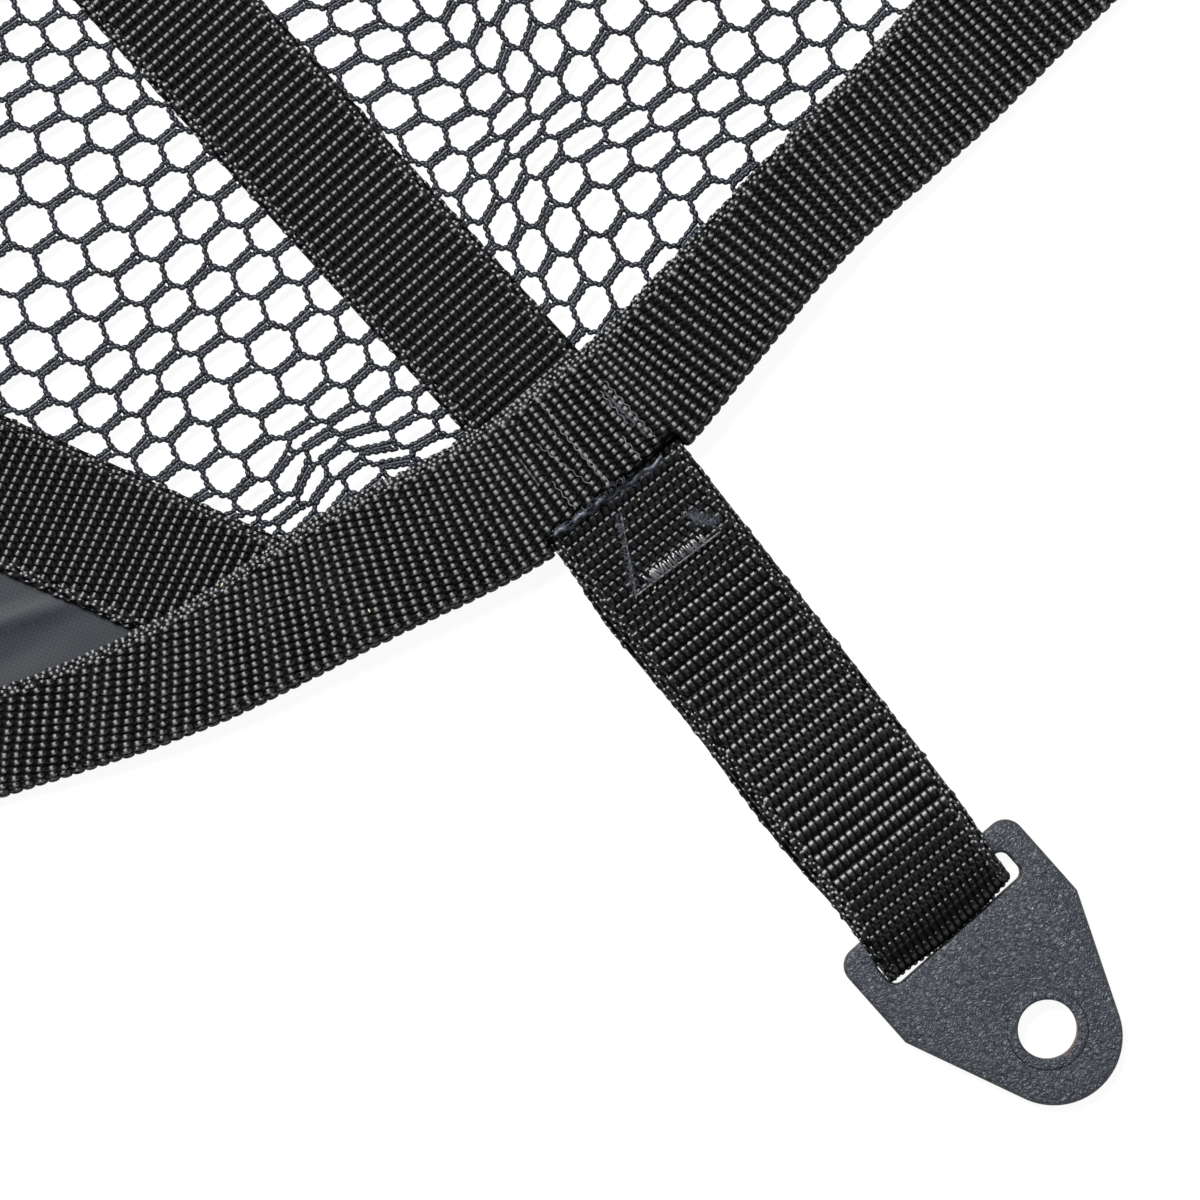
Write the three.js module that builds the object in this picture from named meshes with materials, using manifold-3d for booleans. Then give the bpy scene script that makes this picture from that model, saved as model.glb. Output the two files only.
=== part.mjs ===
// Door net of a utility vehicle, lying flat on a surface. A five-sided panel of
// knitted mesh is bound all round with folded webbing and crossed by two webbing
// bands. Plain cloth closes its lower front corner. Five doubled webbing straps
// come out of the binding, one at each corner, and each holds a steel bolt tab.
// Millimetres, +Z up. Sizes in the plan are measured from the lower middle corner.

import * as THREE from 'three';
import { mergeVertices } from 'three/addons/utils/BufferGeometryUtils.js';
import Module from 'manifold-3d';

const wasm = await Module();
wasm.setup();
const { clamp, degToRad, lerp, radToDeg, smoothstep } = THREE.MathUtils;

// Thickness of each cloth, and the air between two layers
const BINDING_THICK = 1.0;
const CLOTH_THICK = 1.0;
const WEBBING_THICK = 1.2;
const AIR = 0.3;

// Underside of each layer away from the straps, and the rise for one more webbing
const CLOTH_Z = BINDING_THICK + AIR;
const BAND_Z = CLOTH_Z + CLOTH_THICK + AIR;
const LAYER_RISE = WEBBING_THICK + AIR;

// Binding: webbing folded over the panel's edge, one strip with butted ends
const BINDING_FLAT = 40;
const BINDING_LEG = 22;
const FOLD_DEPTH = 1.6;
const FOLD_LENGTH = 4.1;
const JOINT_GAP = 0.4;
const FINE_STEP = 9;
const LONG_STEP = 24;

// Steps in which the edge curve is measured, and in which the panel's rim is cut
const CURVE_STEPS = 1600;
const EDGE_STEP = 0.5;
const RIM_STEP = 10;

// Outer edge of the binding, anticlockwise from the joint in the upper side, with
// the width of the upper leg, which is folded narrower in front of the lower strap
const EDGE = [
  { x: 46, y: 416, leg: 22 },
  { x: -80, y: 419, leg: 22 },
  { x: -125, y: 420, leg: 22 },
  { x: -143, y: 415, leg: 22 },
  { x: -156, y: 401.5, leg: 22 },
  { x: -178, y: 359, leg: 22.5 },
  { x: -244, y: 230, leg: 21.5 },
  { x: -317, y: 100, leg: 22 },
  { x: -339, y: 60, leg: 22 },
  { x: -342, y: 41, leg: 21.5 },
  { x: -333, y: 24, leg: 22 },
  { x: -315, y: 16, leg: 22 },
  { x: -210, y: 7.5, leg: 20.5 },
  { x: -103, y: -4.3, leg: 15.6 },
  { x: -70, y: -6.9, leg: 17.8 },
  { x: -40, y: -5.4, leg: 21.3 },
  { x: -12, y: -3.6, leg: 22.2 },
  { x: 12, y: 3.3, leg: 21.6 },
  { x: 28, y: 11.4, leg: 20 },
  { x: 47, y: 21, leg: 18.8 },
  { x: 73, y: 30.1, leg: 20.8 },
  { x: 99, y: 40.4, leg: 23 },
  { x: 214, y: 83.5, leg: 22.5 },
  { x: 250, y: 97, leg: 22 },
  { x: 267.5, y: 111, leg: 22 },
  { x: 273, y: 132.5, leg: 22 },
  { x: 269, y: 170, leg: 21.5 },
  { x: 259, y: 260, leg: 22.5 },
  { x: 254, y: 350, leg: 22 },
  { x: 252, y: 388, leg: 22 },
  { x: 241.5, y: 410.7, leg: 22 },
  { x: 218, y: 420, leg: 22 },
  { x: 178, y: 419, leg: 21.5 },
];

// Straps: where each leaves the edge, which way it points, how far the tab is
// turned in its loop, how deep the upper end is tucked into the fold, and the width
// of the slit in the fold, wider where the strap leaves at a slant
const ANCHORS = [
  { name: 'lower', x: 0.8, y: -0.3, angle: -75, turn: 3.6, tuck: 8, slit: 28 },
  { name: 'rear_lower', x: 267.5, y: 111, angle: -32.5, turn: -2.4, tuck: 16, slit: 29 },
  { name: 'rear_upper', x: 241.5, y: 410.7, angle: 47, turn: 1.8, tuck: 16, slit: 30 },
  { name: 'upper', x: -143, y: 415, angle: 117, turn: -3.2, tuck: 8, slit: 28 },
  { name: 'front', x: -340, y: 32, angle: 208, turn: 2.6, tuck: 16, slit: 31 },
];

// Layers above an anchor rise within a flat round spot and fall back around it
const RISE_INSET = 8;
const RISE_FLAT = 28;
const RISE_END = 82;

// Bands: centre lines, from end to end under the binding
const MIDDLE_BAND = { from: { x: -2.5, y: 9.1 }, to: { x: -139.4, y: 405.6 }, width: 21 };
const SECOND_BAND = { from: { x: -53.3, y: 4 }, to: { x: -247.3, y: 211.9 }, width: 21.6 };
const BAND_STEP = 10;
const SEAM_GAP = 0.6;

// The binding rises by one webbing where the second band runs under it
const CROSSINGS = [{ x: -58, y: -6.8 }, { x: -253, y: 217 }];
const CROSSING_FLAT = 26;
const CROSSING_END = 50;

// Cloth: set back from the fold, with low waves away from the binding
const CLOTH_INSET = 4;
const GRID = 20;
const WAVE = 0.5;
const WAVE_X = 21;
const WAVE_Y = 27;
const CALM_FROM = 30;
const CALM_TO = 70;

// Strap: one strip that runs out below, up through the tab's slot and back above
const STRAP_WIDTH = 25;
const STRAP_WIDTH_AT_SLOT = 24.2;
const STRAP_LOWER_TUCK = 18;
const SLOT_AT = 79.6;
const STRAP_TURN_AT = 80.3;
const STRAP_SAG_Z = 3.2;

// Slit in the fold that lets a strap out, cut from outside the edge inwards
const SLIT_DEPTH = 2.4;
const SLIT_OUTSIDE = 6;
const SLIT_STEPS = 6;

// Height of the blocks that cut the layers, above and below them
const CUT_HEIGHT = 20;

// Tab: measured along its axis from the centre of the bolt hole
const TAB_THICK = 2.5;
const TAB_TOP = -28.7;
const TAB_HALF = 17.35;
const TAB_CORNER = 3;
const TAB_KINK = -12.8;
const TAB_END_R = 10.4;
const TAB_END_AT = 1.55;
const TAB_TIP = TAB_END_AT + TAB_END_R;
const BOLT_R = 4.5;
const SEAT_R = 6.2;
const SEAT_RISE = 0.25;
const SLOT_CENTRE = -22.6;
const SLOT_WIDTH = 5;
const SLOT_LENGTH = 26;
const SLOT_CORNER = 1.5;
const TAB_TILT = 2.36;
const CORNER_STEPS = 4;
const END_STEPS = 12;
const HOLE_STEPS = 28;

const MATERIALS = {
  binding: new THREE.MeshStandardMaterial({ color: 0x1a1b1e, roughness: 0.62, metalness: 0 }),
  band: new THREE.MeshStandardMaterial({ color: 0x17181a, roughness: 0.58, metalness: 0 }),
  strap: new THREE.MeshStandardMaterial({ color: 0x151617, roughness: 0.5, metalness: 0 }),
  mesh: new THREE.MeshStandardMaterial({ color: 0x242a35, roughness: 0.75, metalness: 0 }),
  cloth: new THREE.MeshStandardMaterial({ color: 0x39424f, roughness: 0.7, metalness: 0 }),
  tab: new THREE.MeshStandardMaterial({ color: 0x4a525a, roughness: 0.45, metalness: 0.35 }),
};

// The edge's third coordinate is the width of the upper leg
const edge = new THREE.CatmullRomCurve3(
  EDGE.map(({ x, y, leg }) => new THREE.Vector3(x, y, leg)), true, 'centripetal');
edge.arcLengthDivisions = CURVE_STEPS;
const edgeLength = edge.getLength();
const edgePoints = edge.getSpacedPoints(Math.round(edgeLength / EDGE_STEP));

// A point of the plan that lies a way along the outer edge and a way in from it
function fromEdge(along, inwards) {
  const share = along / edgeLength;
  const point = edge.getPointAt(share);
  const tangent = edge.getTangentAt(share).setZ(0).normalize();
  return { x: point.x - tangent.y * inwards, y: point.y + tangent.x * inwards };
}

function distanceToEdge(x, y) {
  return Math.min(...edgePoints.map((p) => Math.hypot(p.x - x, p.y - y)));
}

// Way along the edge to its point nearest to a place
function alongEdge({ x, y }) {
  const gaps = edgePoints.map((p) => Math.hypot(p.x - x, p.y - y));
  return (gaps.indexOf(Math.min(...gaps)) / (edgePoints.length - 1)) * edgeLength;
}

const crossingsAlong = CROSSINGS.map(alongEdge);

// Rise of the cloth and bands over the strap's lower layer near each anchor
function anchorRise(x, y) {
  const away = ANCHORS.map((anchor) => {
    const angle = degToRad(anchor.angle);
    const centreX = anchor.x - RISE_INSET * Math.cos(angle);
    const centreY = anchor.y - RISE_INSET * Math.sin(angle);
    return Math.hypot(x - centreX, y - centreY);
  });
  return LAYER_RISE * (1 - smoothstep(Math.min(...away), RISE_FLAT, RISE_END));
}

// Rise of the binding over the ends of the second band
function crossingRise(along) {
  const away = Math.min(...crossingsAlong.map((place) => Math.abs(place - along)));
  return LAYER_RISE * (1 - smoothstep(away, CROSSING_FLAT, CROSSING_END));
}

function wave(x, y) {
  const calm = smoothstep(distanceToEdge(x, y), CALM_FROM, CALM_TO);
  return calm * WAVE * Math.sin(x / WAVE_X + Math.sin(y / WAVE_Y)) * Math.cos(y / WAVE_Y);
}

const clothRise = (x, y) => anchorRise(x, y) + wave(x, y);

function movePoints(geometry, move) {
  const place = geometry.attributes.position;
  for (let i = 0; i < place.count; i += 1) {
    const { x, y, z } = move(place.getX(i), place.getY(i), place.getZ(i));
    place.setXYZ(i, x, y, z);
  }
  return geometry;
}

function toSolid(geometry) {
  const bare = new THREE.BufferGeometry();
  bare.setAttribute('position', geometry.attributes.position);
  bare.setIndex(geometry.index);
  const merged = mergeVertices(bare);
  return new wasm.Manifold(new wasm.Mesh({
    numProp: 3,
    vertProperties: new Float32Array(merged.attributes.position.array),
    triVerts: new Uint32Array(merged.index.array),
  }));
}

function toGeometry(solid) {
  const { vertProperties, triVerts } = solid.getMesh();
  const geometry = new THREE.BufferGeometry();
  geometry.setAttribute('position', new THREE.BufferAttribute(vertProperties, 3));
  geometry.setIndex(new THREE.BufferAttribute(triVerts, 1));
  const faceted = geometry.toNonIndexed();
  faceted.computeVertexNormals();
  return faceted;
}

function shapeOf(points) {
  return new THREE.Shape(points.map(([x, y]) => new THREE.Vector2(x, y)));
}

function extrude(shape, depth, steps = 1) {
  return new THREE.ExtrudeGeometry(shape, { depth, steps, bevelEnabled: false });
}

// Block over an outline, taller than all the layers
function cutter(points) {
  return toSolid(extrude(shapeOf(points), 2 * CUT_HEIGHT).translate(0, 0, -CUT_HEIGHT));
}

// What the upper leg lacks in width, the lower leg has
function legWidth(along, isUpper) {
  const upperLeg = edge.getPointAt(along / edgeLength).z;
  return isUpper ? upperLeg : BINDING_FLAT - FOLD_LENGTH - upperLeg;
}

// Cross-section of the folded binding: inwards from the edge, and up
function bindingSection() {
  const top = BAND_Z + BINDING_THICK;
  const middle = top / 2;
  return shapeOf([
    [BINDING_LEG, 0], [BINDING_LEG, BINDING_THICK], [FOLD_DEPTH, BINDING_THICK],
    [BINDING_THICK, middle], [FOLD_DEPTH, BAND_Z], [BINDING_LEG, BAND_Z],
    [BINDING_LEG, top], [FOLD_DEPTH - AIR, top], [AIR, middle + BINDING_THICK],
    [0, middle], [AIR, middle - BINDING_THICK], [FOLD_DEPTH - AIR, 0],
  ]);
}

// Steps along the binding, closer together where it bends or rises
function bindingStations() {
  const busy = ({ x, y }) => [...ANCHORS, ...CROSSINGS].some(
    (place) => Math.hypot(place.x - x, place.y - y) < RISE_END + FINE_STEP);
  const stations = [];
  const end = edgeLength - JOINT_GAP / 2;
  for (let along = JOINT_GAP / 2; along < end - FINE_STEP;) {
    stations.push(along);
    along += busy(fromEdge(along, 0)) ? FINE_STEP : LONG_STEP;
  }
  return [...stations, end];
}

function makeBinding() {
  const stations = bindingStations();
  const steps = stations.length - 1;
  const bar = extrude(bindingSection(), 1, steps);
  const folded = movePoints(bar, (inwards, up, share) => {
    const along = stations[Math.round(share * steps)];
    const isLegEnd = inwards > BINDING_LEG / 2;
    const reach = isLegEnd ? legWidth(along, up > CLOTH_Z) : inwards;
    const { x, y } = fromEdge(along, reach);
    const rise = anchorRise(x, y) + Math.max(anchorRise(x, y), crossingRise(along));
    const risen = clamp((up - BINDING_THICK) / (BAND_Z - BINDING_THICK), 0, 1);
    return { x, y, z: up + rise * risen };
  });
  const slits = ANCHORS.map(slitCutter);
  return toGeometry(slits.reduce((solid, slit) => solid.subtract(slit), toSolid(folded)));
}

// Room for a strap through the fold: everything above the lower leg at the edge
function slitCutter(anchor) {
  const depth = SLIT_DEPTH + SLIT_OUTSIDE;
  const box = new THREE.BoxGeometry(anchor.slit, depth, CUT_HEIGHT, SLIT_STEPS, 1, 1);
  const inwards = depth / 2 - SLIT_OUTSIDE;
  box.translate(alongEdge(anchor), inwards, CUT_HEIGHT / 2 + BINDING_THICK);
  return toSolid(movePoints(box, (along, depthAt, z) => ({ ...fromEdge(along, depthAt), z })));
}

// Everything in front of the second band's centre line, moved sideways by an offset
function frontOfSeam(offset) {
  const { from, to } = SECOND_BAND;
  const length = Math.hypot(to.x - from.x, to.y - from.y);
  const along = { x: (to.x - from.x) / length, y: (to.y - from.y) / length };
  const side = { x: -along.y, y: along.x };
  const reach = 2 * length;
  const corner = (a, b) => [
    from.x + along.x * a + side.x * b, from.y + along.y * a + side.y * b];
  return cutter([
    corner(-reach, offset), corner(reach, offset), corner(reach, reach), corner(-reach, reach),
  ]);
}

// The whole panel, to its edge inside the fold
function panelSlab() {
  const rim = [];
  const count = Math.round(edgeLength / RIM_STEP);
  for (let i = 0; i < count; i += 1) {
    const { x, y } = fromEdge((i * edgeLength) / count, CLOTH_INSET);
    rim.push([x, y]);
  }
  const outline = cutter(rim);
  const box = new THREE.Box3().setFromPoints(edgePoints);
  const size = box.getSize(new THREE.Vector3());
  const middle = box.getCenter(new THREE.Vector3());
  const grid = new THREE.BoxGeometry(
    size.x, size.y, CLOTH_THICK, Math.round(size.x / GRID), Math.round(size.y / GRID), 1);
  grid.translate(middle.x, middle.y, CLOTH_Z + CLOTH_THICK / 2);
  movePoints(grid, (x, y, z) => ({ x, y, z: z + clothRise(x, y) }));
  return toSolid(grid).intersect(outline);
}

function makeBand({ from, to, width }) {
  const length = Math.hypot(to.x - from.x, to.y - from.y);
  const angle = Math.atan2(to.y - from.y, to.x - from.x);
  const band = new THREE.BoxGeometry(
    length, width, WEBBING_THICK, Math.round(length / BAND_STEP), 2, 1);
  band.translate(length / 2, 0, BAND_Z + WEBBING_THICK / 2);
  band.rotateZ(angle);
  band.translate(from.x, from.y, 0);
  movePoints(band, (x, y, z) => ({ x, y, z: z + clothRise(x, y) }));
  return toGeometry(toSolid(band));
}

// Middle line of a strap seen from the side, a row for each bend: way out from the
// edge, and up. It leaves the fold, lies on the surface, turns round the bar between
// the tab's slot and its head, sags on the way back and ends on the binding.
function strapLine(tuck) {
  const half = WEBBING_THICK / 2;
  const inFold = BINDING_THICK + AIR + half;
  const onTop = BAND_Z + LAYER_RISE + half;
  const barLength = SLOT_CENTRE - SLOT_WIDTH / 2 - TAB_TOP;
  const barAt = SLOT_AT - SLOT_WIDTH / 2 - barLength;
  const barTop = (TAB_TIP - TAB_TOP) * Math.sin(degToRad(TAB_TILT)) + TAB_THICK;
  const overBar = barTop + AIR + half;
  return [
    { out: -STRAP_LOWER_TUCK, up: inFold },
    { out: -8, up: inFold },
    { out: 1.5, up: inFold },
    { out: 9, up: half },
    { out: 30, up: half },
    { out: 55, up: half },
    { out: barAt, up: half },
    { out: SLOT_AT - 1.6, up: half + 0.15 },
    { out: STRAP_TURN_AT - 0.4, up: half + 0.9 },
    { out: STRAP_TURN_AT, up: (half + overBar) / 2 },
    { out: STRAP_TURN_AT - 0.5, up: overBar - 0.9 },
    { out: SLOT_AT - 1.8, up: overBar - 0.1 },
    { out: barAt + 1, up: overBar + 0.05 },
    { out: barAt - 7, up: overBar - 0.5 },
    { out: 52, up: STRAP_SAG_Z + 0.3 },
    { out: 32, up: STRAP_SAG_Z },
    { out: 14, up: onTop - 0.5 },
    { out: 3, up: onTop },
    { out: -tuck / 2, up: onTop },
    { out: -tuck, up: onTop },
  ];
}

// Outline of a strip of even thickness along a middle line
function stripShape(line, thickness) {
  const curve = new THREE.CatmullRomCurve3(
    line.map(({ out, up }) => new THREE.Vector3(out, up, 0)), false, 'centripetal');
  const count = 2 * (line.length - 1);
  const sides = [-1, 1].map((sign) => {
    const side = [];
    for (let i = 0; i <= count; i += 1) {
      const point = curve.getPoint(i / count);
      const tangent = curve.getTangent(i / count);
      const offset = (sign * thickness) / 2;
      side.push([point.x - tangent.y * offset, point.y + tangent.x * offset]);
    }
    return side;
  });
  return shapeOf([...sides[0], ...sides[1].reverse()]);
}

function makeStrap({ tuck }) {
  const strap = extrude(stripShape(strapLine(tuck), WEBBING_THICK), STRAP_WIDTH);
  movePoints(strap, (out, up, across) => {
    const narrowing = smoothstep(out, SLOT_AT / 2, SLOT_AT);
    const width = lerp(STRAP_WIDTH, STRAP_WIDTH_AT_SLOT, narrowing);
    const side = (0.5 - across / STRAP_WIDTH) * width;
    return { x: out, y: side, z: Math.max(up, 0) };
  });
  return toGeometry(toSolid(strap));
}

// Points of an arc, in degrees, both ends included
function arc(x, y, radius, from, to, count) {
  return Array.from({ length: count + 1 }, (_, i) => {
    const angle = degToRad(lerp(from, to, i / count));
    return [x + radius * Math.cos(angle), y + radius * Math.sin(angle)];
  });
}

function slotHole() {
  const near = SLOT_CENTRE - SLOT_WIDTH / 2 + SLOT_CORNER;
  const far = SLOT_CENTRE + SLOT_WIDTH / 2 - SLOT_CORNER;
  const end = SLOT_LENGTH / 2 - SLOT_CORNER;
  return shapeOf([
    ...arc(far, end, SLOT_CORNER, 0, 90, CORNER_STEPS),
    ...arc(near, end, SLOT_CORNER, 90, 180, CORNER_STEPS),
    ...arc(near, -end, SLOT_CORNER, 180, 270, CORNER_STEPS),
    ...arc(far, -end, SLOT_CORNER, 270, 360, CORNER_STEPS),
  ]);
}

function disc(radius) {
  return shapeOf(arc(0, 0, radius, 0, 360, HOLE_STEPS).slice(1));
}

// Flat tab: a wide slotted head that tapers to a round end about the bolt hole
function makeTab() {
  const run = TAB_KINK - TAB_END_AT;
  const reach = Math.hypot(run, TAB_HALF);
  const taper = radToDeg(Math.atan2(TAB_HALF, run) - Math.acos(TAB_END_R / reach));
  const cornerX = TAB_TOP + TAB_CORNER;
  const cornerY = TAB_HALF - TAB_CORNER;
  const plate = shapeOf([
    [TAB_KINK, -TAB_HALF],
    ...arc(TAB_END_AT, 0, TAB_END_R, -taper, taper, END_STEPS),
    [TAB_KINK, TAB_HALF],
    ...arc(cornerX, cornerY, TAB_CORNER, 90, 180, CORNER_STEPS),
    ...arc(cornerX, -cornerY, TAB_CORNER, 180, 270, CORNER_STEPS),
  ]);
  plate.holes.push(slotHole(), disc(BOLT_R));
  const seat = disc(SEAT_R);
  seat.holes.push(disc(BOLT_R));
  const ring = extrude(seat, TAB_THICK / 2 + SEAT_RISE).translate(0, 0, TAB_THICK / 2);
  return toGeometry(toSolid(extrude(plate, TAB_THICK)).add(toSolid(ring)));
}

function named(name, geometry, material) {
  const mesh = new THREE.Mesh(geometry, material.clone());
  mesh.name = name;
  return mesh;
}

// A strap at its anchor, with its tab turned in the loop and its bolt end down
function makeAnchor(anchor) {
  const group = new THREE.Group();
  group.position.set(anchor.x, anchor.y, 0);
  group.rotation.z = degToRad(anchor.angle);
  group.add(named(`strap_${anchor.name}`, makeStrap(anchor), MATERIALS.strap));
  const loop = new THREE.Group();
  loop.position.x = SLOT_AT;
  loop.rotation.z = degToRad(anchor.turn);
  const tab = named(`tab_${anchor.name}`, makeTab(), MATERIALS.tab);
  const tilt = degToRad(TAB_TILT);
  tab.position.set(-SLOT_CENTRE, 0, TAB_TIP * Math.sin(tilt));
  tab.rotation.y = tilt;
  loop.add(tab);
  group.add(loop);
  return group;
}

const doorNet = new THREE.Group();
const slab = panelSlab();
doorNet.add(
  named('binding', makeBinding(), MATERIALS.binding),
  named('mesh_panel', toGeometry(slab.subtract(frontOfSeam(-SEAM_GAP / 2))), MATERIALS.mesh),
  named('corner_cloth', toGeometry(slab.intersect(frontOfSeam(SEAM_GAP / 2))), MATERIALS.cloth),
  named('middle_band', makeBand(MIDDLE_BAND), MATERIALS.band),
  named('second_band', makeBand(SECOND_BAND), MATERIALS.band),
  ...ANCHORS.map(makeAnchor),
);

// Origin: the middle of the underside
const whole = new THREE.Box3().setFromObject(doorNet, true);
const middle = whole.getCenter(new THREE.Vector3());
doorNet.position.set(-middle.x, -middle.y, -whole.min.z);

export default doorNet;
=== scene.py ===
"""Door net of a utility vehicle, lying flat and seen from above at its lower corner.

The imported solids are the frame; this script dresses them. Sizes in tables are
millimetres in the plan, measured from the lower middle corner of the net.
"""
import math

import bmesh
import bpy
import numpy as np
from mathutils import Matrix, Vector, kdtree
from mathutils.geometry import delaunay_2d_cdt


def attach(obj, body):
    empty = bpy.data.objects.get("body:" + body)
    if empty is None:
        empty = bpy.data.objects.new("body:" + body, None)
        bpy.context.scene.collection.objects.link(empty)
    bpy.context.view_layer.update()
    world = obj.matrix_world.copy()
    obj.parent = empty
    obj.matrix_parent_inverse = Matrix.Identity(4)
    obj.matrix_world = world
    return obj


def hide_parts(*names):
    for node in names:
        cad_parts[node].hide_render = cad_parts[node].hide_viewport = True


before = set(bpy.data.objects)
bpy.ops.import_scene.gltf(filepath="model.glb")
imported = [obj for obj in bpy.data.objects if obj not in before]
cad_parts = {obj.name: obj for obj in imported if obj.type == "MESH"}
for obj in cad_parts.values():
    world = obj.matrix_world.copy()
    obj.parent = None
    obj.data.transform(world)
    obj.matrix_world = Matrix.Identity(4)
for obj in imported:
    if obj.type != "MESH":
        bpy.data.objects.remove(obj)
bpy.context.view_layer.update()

# Studio
# A wide white floor lit through from below, one large soft light and two weak ones.
# The camera looks straight down at the lower corner, rolled as the picture is.
MM = 0.001
# From the plan's zero, the net's lower middle corner, to the middle of the whole part
PLAN_SHIFT = np.array([38.311, -203.980, 0.0])
# The picture's middle and width on the plan, its roll, and the height of what it shows
VIEW = {"centre": np.array([-8.1, -12.5]), "width": 181.2, "roll": 23.1, "focus": 0.003}
CAMERA_HEIGHT, SENSOR = 1.1, 36.0
FLOOR = {"size": 40.0, "depth": 0.0001, "grey": 0.12, "glow": 0.93}


def to_frame(points):
    """Plan millimetres to the frame's metres."""
    return (np.asarray(points, float) + PLAN_SHIFT) * MM


def set_sockets(node, values):
    """Constants on a node's named sockets."""
    for title, value in values.items():
        node.inputs[title].default_value = value
    return node


def new_finish(name):
    """A material, with its nodes, links and shader."""
    made = bpy.data.materials.new(name)
    made.use_nodes = True
    nodes = made.node_tree.nodes
    return made, nodes, made.node_tree.links, nodes["Principled BSDF"]


def two_tones(nodes, low, high, dark, light):
    """A ramp from one tone to another between two values."""
    ramp = nodes.new("ShaderNodeValToRGB")
    for stop, at, tone in zip(ramp.color_ramp.elements, (low, high), (dark, light)):
        stop.position, stop.color = at, (*tone, 1)
    return ramp


bpy.ops.mesh.primitive_plane_add(size=FLOOR["size"], location=(0, 0, -FLOOR["depth"]))
floor = bpy.context.object
floor.name = "floor"
paper, _, _, paper_shader = new_finish("white_paper")
set_sockets(paper_shader, {
    "Base Color": (FLOOR["grey"], FLOOR["grey"], FLOOR["grey"], 1), "Roughness": 0.9,
    "Specular IOR Level": 0.1, "Emission Color": (1.0, 1.0, 1.0, 1),
    "Emission Strength": FLOOR["glow"]})
floor.data.materials.append(paper)

# Lights, named by where they stand in the picture: compass in degrees clockwise from
# its top, tilt from straight above, distance and size in metres, strength in watts
LIGHTS = [
    {"name": "key_upper_left", "compass": -38, "tilt": 38, "away": 1.5, "size": 0.55, "watts": 44},
    {"name": "fill_lower_right", "compass": 140, "tilt": 54, "away": 1.5, "size": 0.7, "watts": 3.5},
    {"name": "side_upper_right", "compass": 60, "tilt": 50, "away": 1.6, "size": 0.5, "watts": 3},
]
view_spot = Vector(to_frame([*VIEW["centre"], 0]))
for row in LIGHTS:
    lamp = bpy.data.lights.new(row["name"], "AREA")
    lamp.size = row["size"]
    lamp.energy = row["watts"]
    holder = bpy.data.objects.new(row["name"], lamp)
    turn = math.radians(VIEW["roll"] + row["compass"])
    lean = math.radians(row["tilt"])
    aim = Vector((math.sin(turn) * math.sin(lean), math.cos(turn) * math.sin(lean), math.cos(lean)))
    holder.location = view_spot + aim * row["away"]
    holder.rotation_euler = aim.to_track_quat("Z", "Y").to_euler()
    holder.visible_camera = False
    bpy.context.scene.collection.objects.link(holder)

# The room round it: a dim sky, a little brighter at the sides than above
room = bpy.data.worlds.new("room")
room.use_nodes = True
nodes, links = room.node_tree.nodes, room.node_tree.links
sky_way = nodes.new("ShaderNodeTexCoord")
split = nodes.new("ShaderNodeSeparateXYZ")
glow = two_tones(nodes, 0.45, 0.95, (0.045, 0.046, 0.048), (0.022, 0.022, 0.023))
sky = set_sockets(nodes["Background"], {"Strength": 0.9})
links.new(sky_way.outputs["Generated"], split.inputs[0])
links.new(split.outputs["Z"], glow.inputs[0])
links.new(glow.outputs[0], sky.inputs["Color"])
bpy.context.scene.world = room
bpy.context.scene.view_settings.view_transform = "Standard"

lens = bpy.data.cameras.new("close_up")
lens.sensor_width = SENSOR
lens.lens = SENSOR * (CAMERA_HEIGHT - VIEW["focus"]) / (VIEW["width"] * MM)
lens.clip_start, lens.clip_end = 0.01, 100
camera = bpy.data.objects.new("close_up", lens)
camera.location = view_spot + Vector((0, 0, CAMERA_HEIGHT))
camera.rotation_euler = (0, 0, -math.radians(VIEW["roll"]))
bpy.context.scene.collection.objects.link(camera)
bpy.context.scene.camera = camera

# Knitted net
# One sheet of warp-knitted polyester mesh with six-sided holes, cut to the outline
# and held in the fold of the binding. It is knitted stitch by stitch in the close-up
# and in plain yarn elsewhere, in two pieces that part under the middle band.
# Thicknesses of the solids' layers, the air between them, and where two of them start
BINDING_THICK, CLOTH_THICK, WEBBING_THICK, AIR = 1.0, 1.0, 1.2, 0.3
CLOTH_Z = BINDING_THICK + AIR
BAND_Z = CLOTH_Z + CLOTH_THICK + AIR
LAYER_RISE = WEBBING_THICK + AIR
# Outer edge of the net: x, y and how wide the binding's upper leg is there
EDGE = [
    (46, 416, 22), (-80, 419, 22), (-125, 420, 22), (-143, 415, 22), (-156, 401.5, 22),
    (-178, 359, 22.5), (-244, 230, 21.5), (-317, 100, 22), (-339, 60, 22), (-342, 41, 21.5),
    (-333, 24, 22), (-315, 16, 22), (-210, 7.5, 20.5), (-103, -4.3, 15.6), (-70, -6.9, 17.8),
    (-40, -5.4, 21.3), (-12, -3.6, 22.2), (12, 3.3, 21.6), (28, 11.4, 20), (47, 21, 18.8),
    (73, 30.1, 20.8), (99, 40.4, 23), (214, 83.5, 22.5), (250, 97, 22), (267.5, 111, 22),
    (273, 132.5, 22), (269, 170, 21.5), (259, 260, 22.5), (254, 350, 22), (252, 388, 22),
    (241.5, 410.7, 22), (218, 420, 22), (178, 419, 21.5),
]
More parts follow.
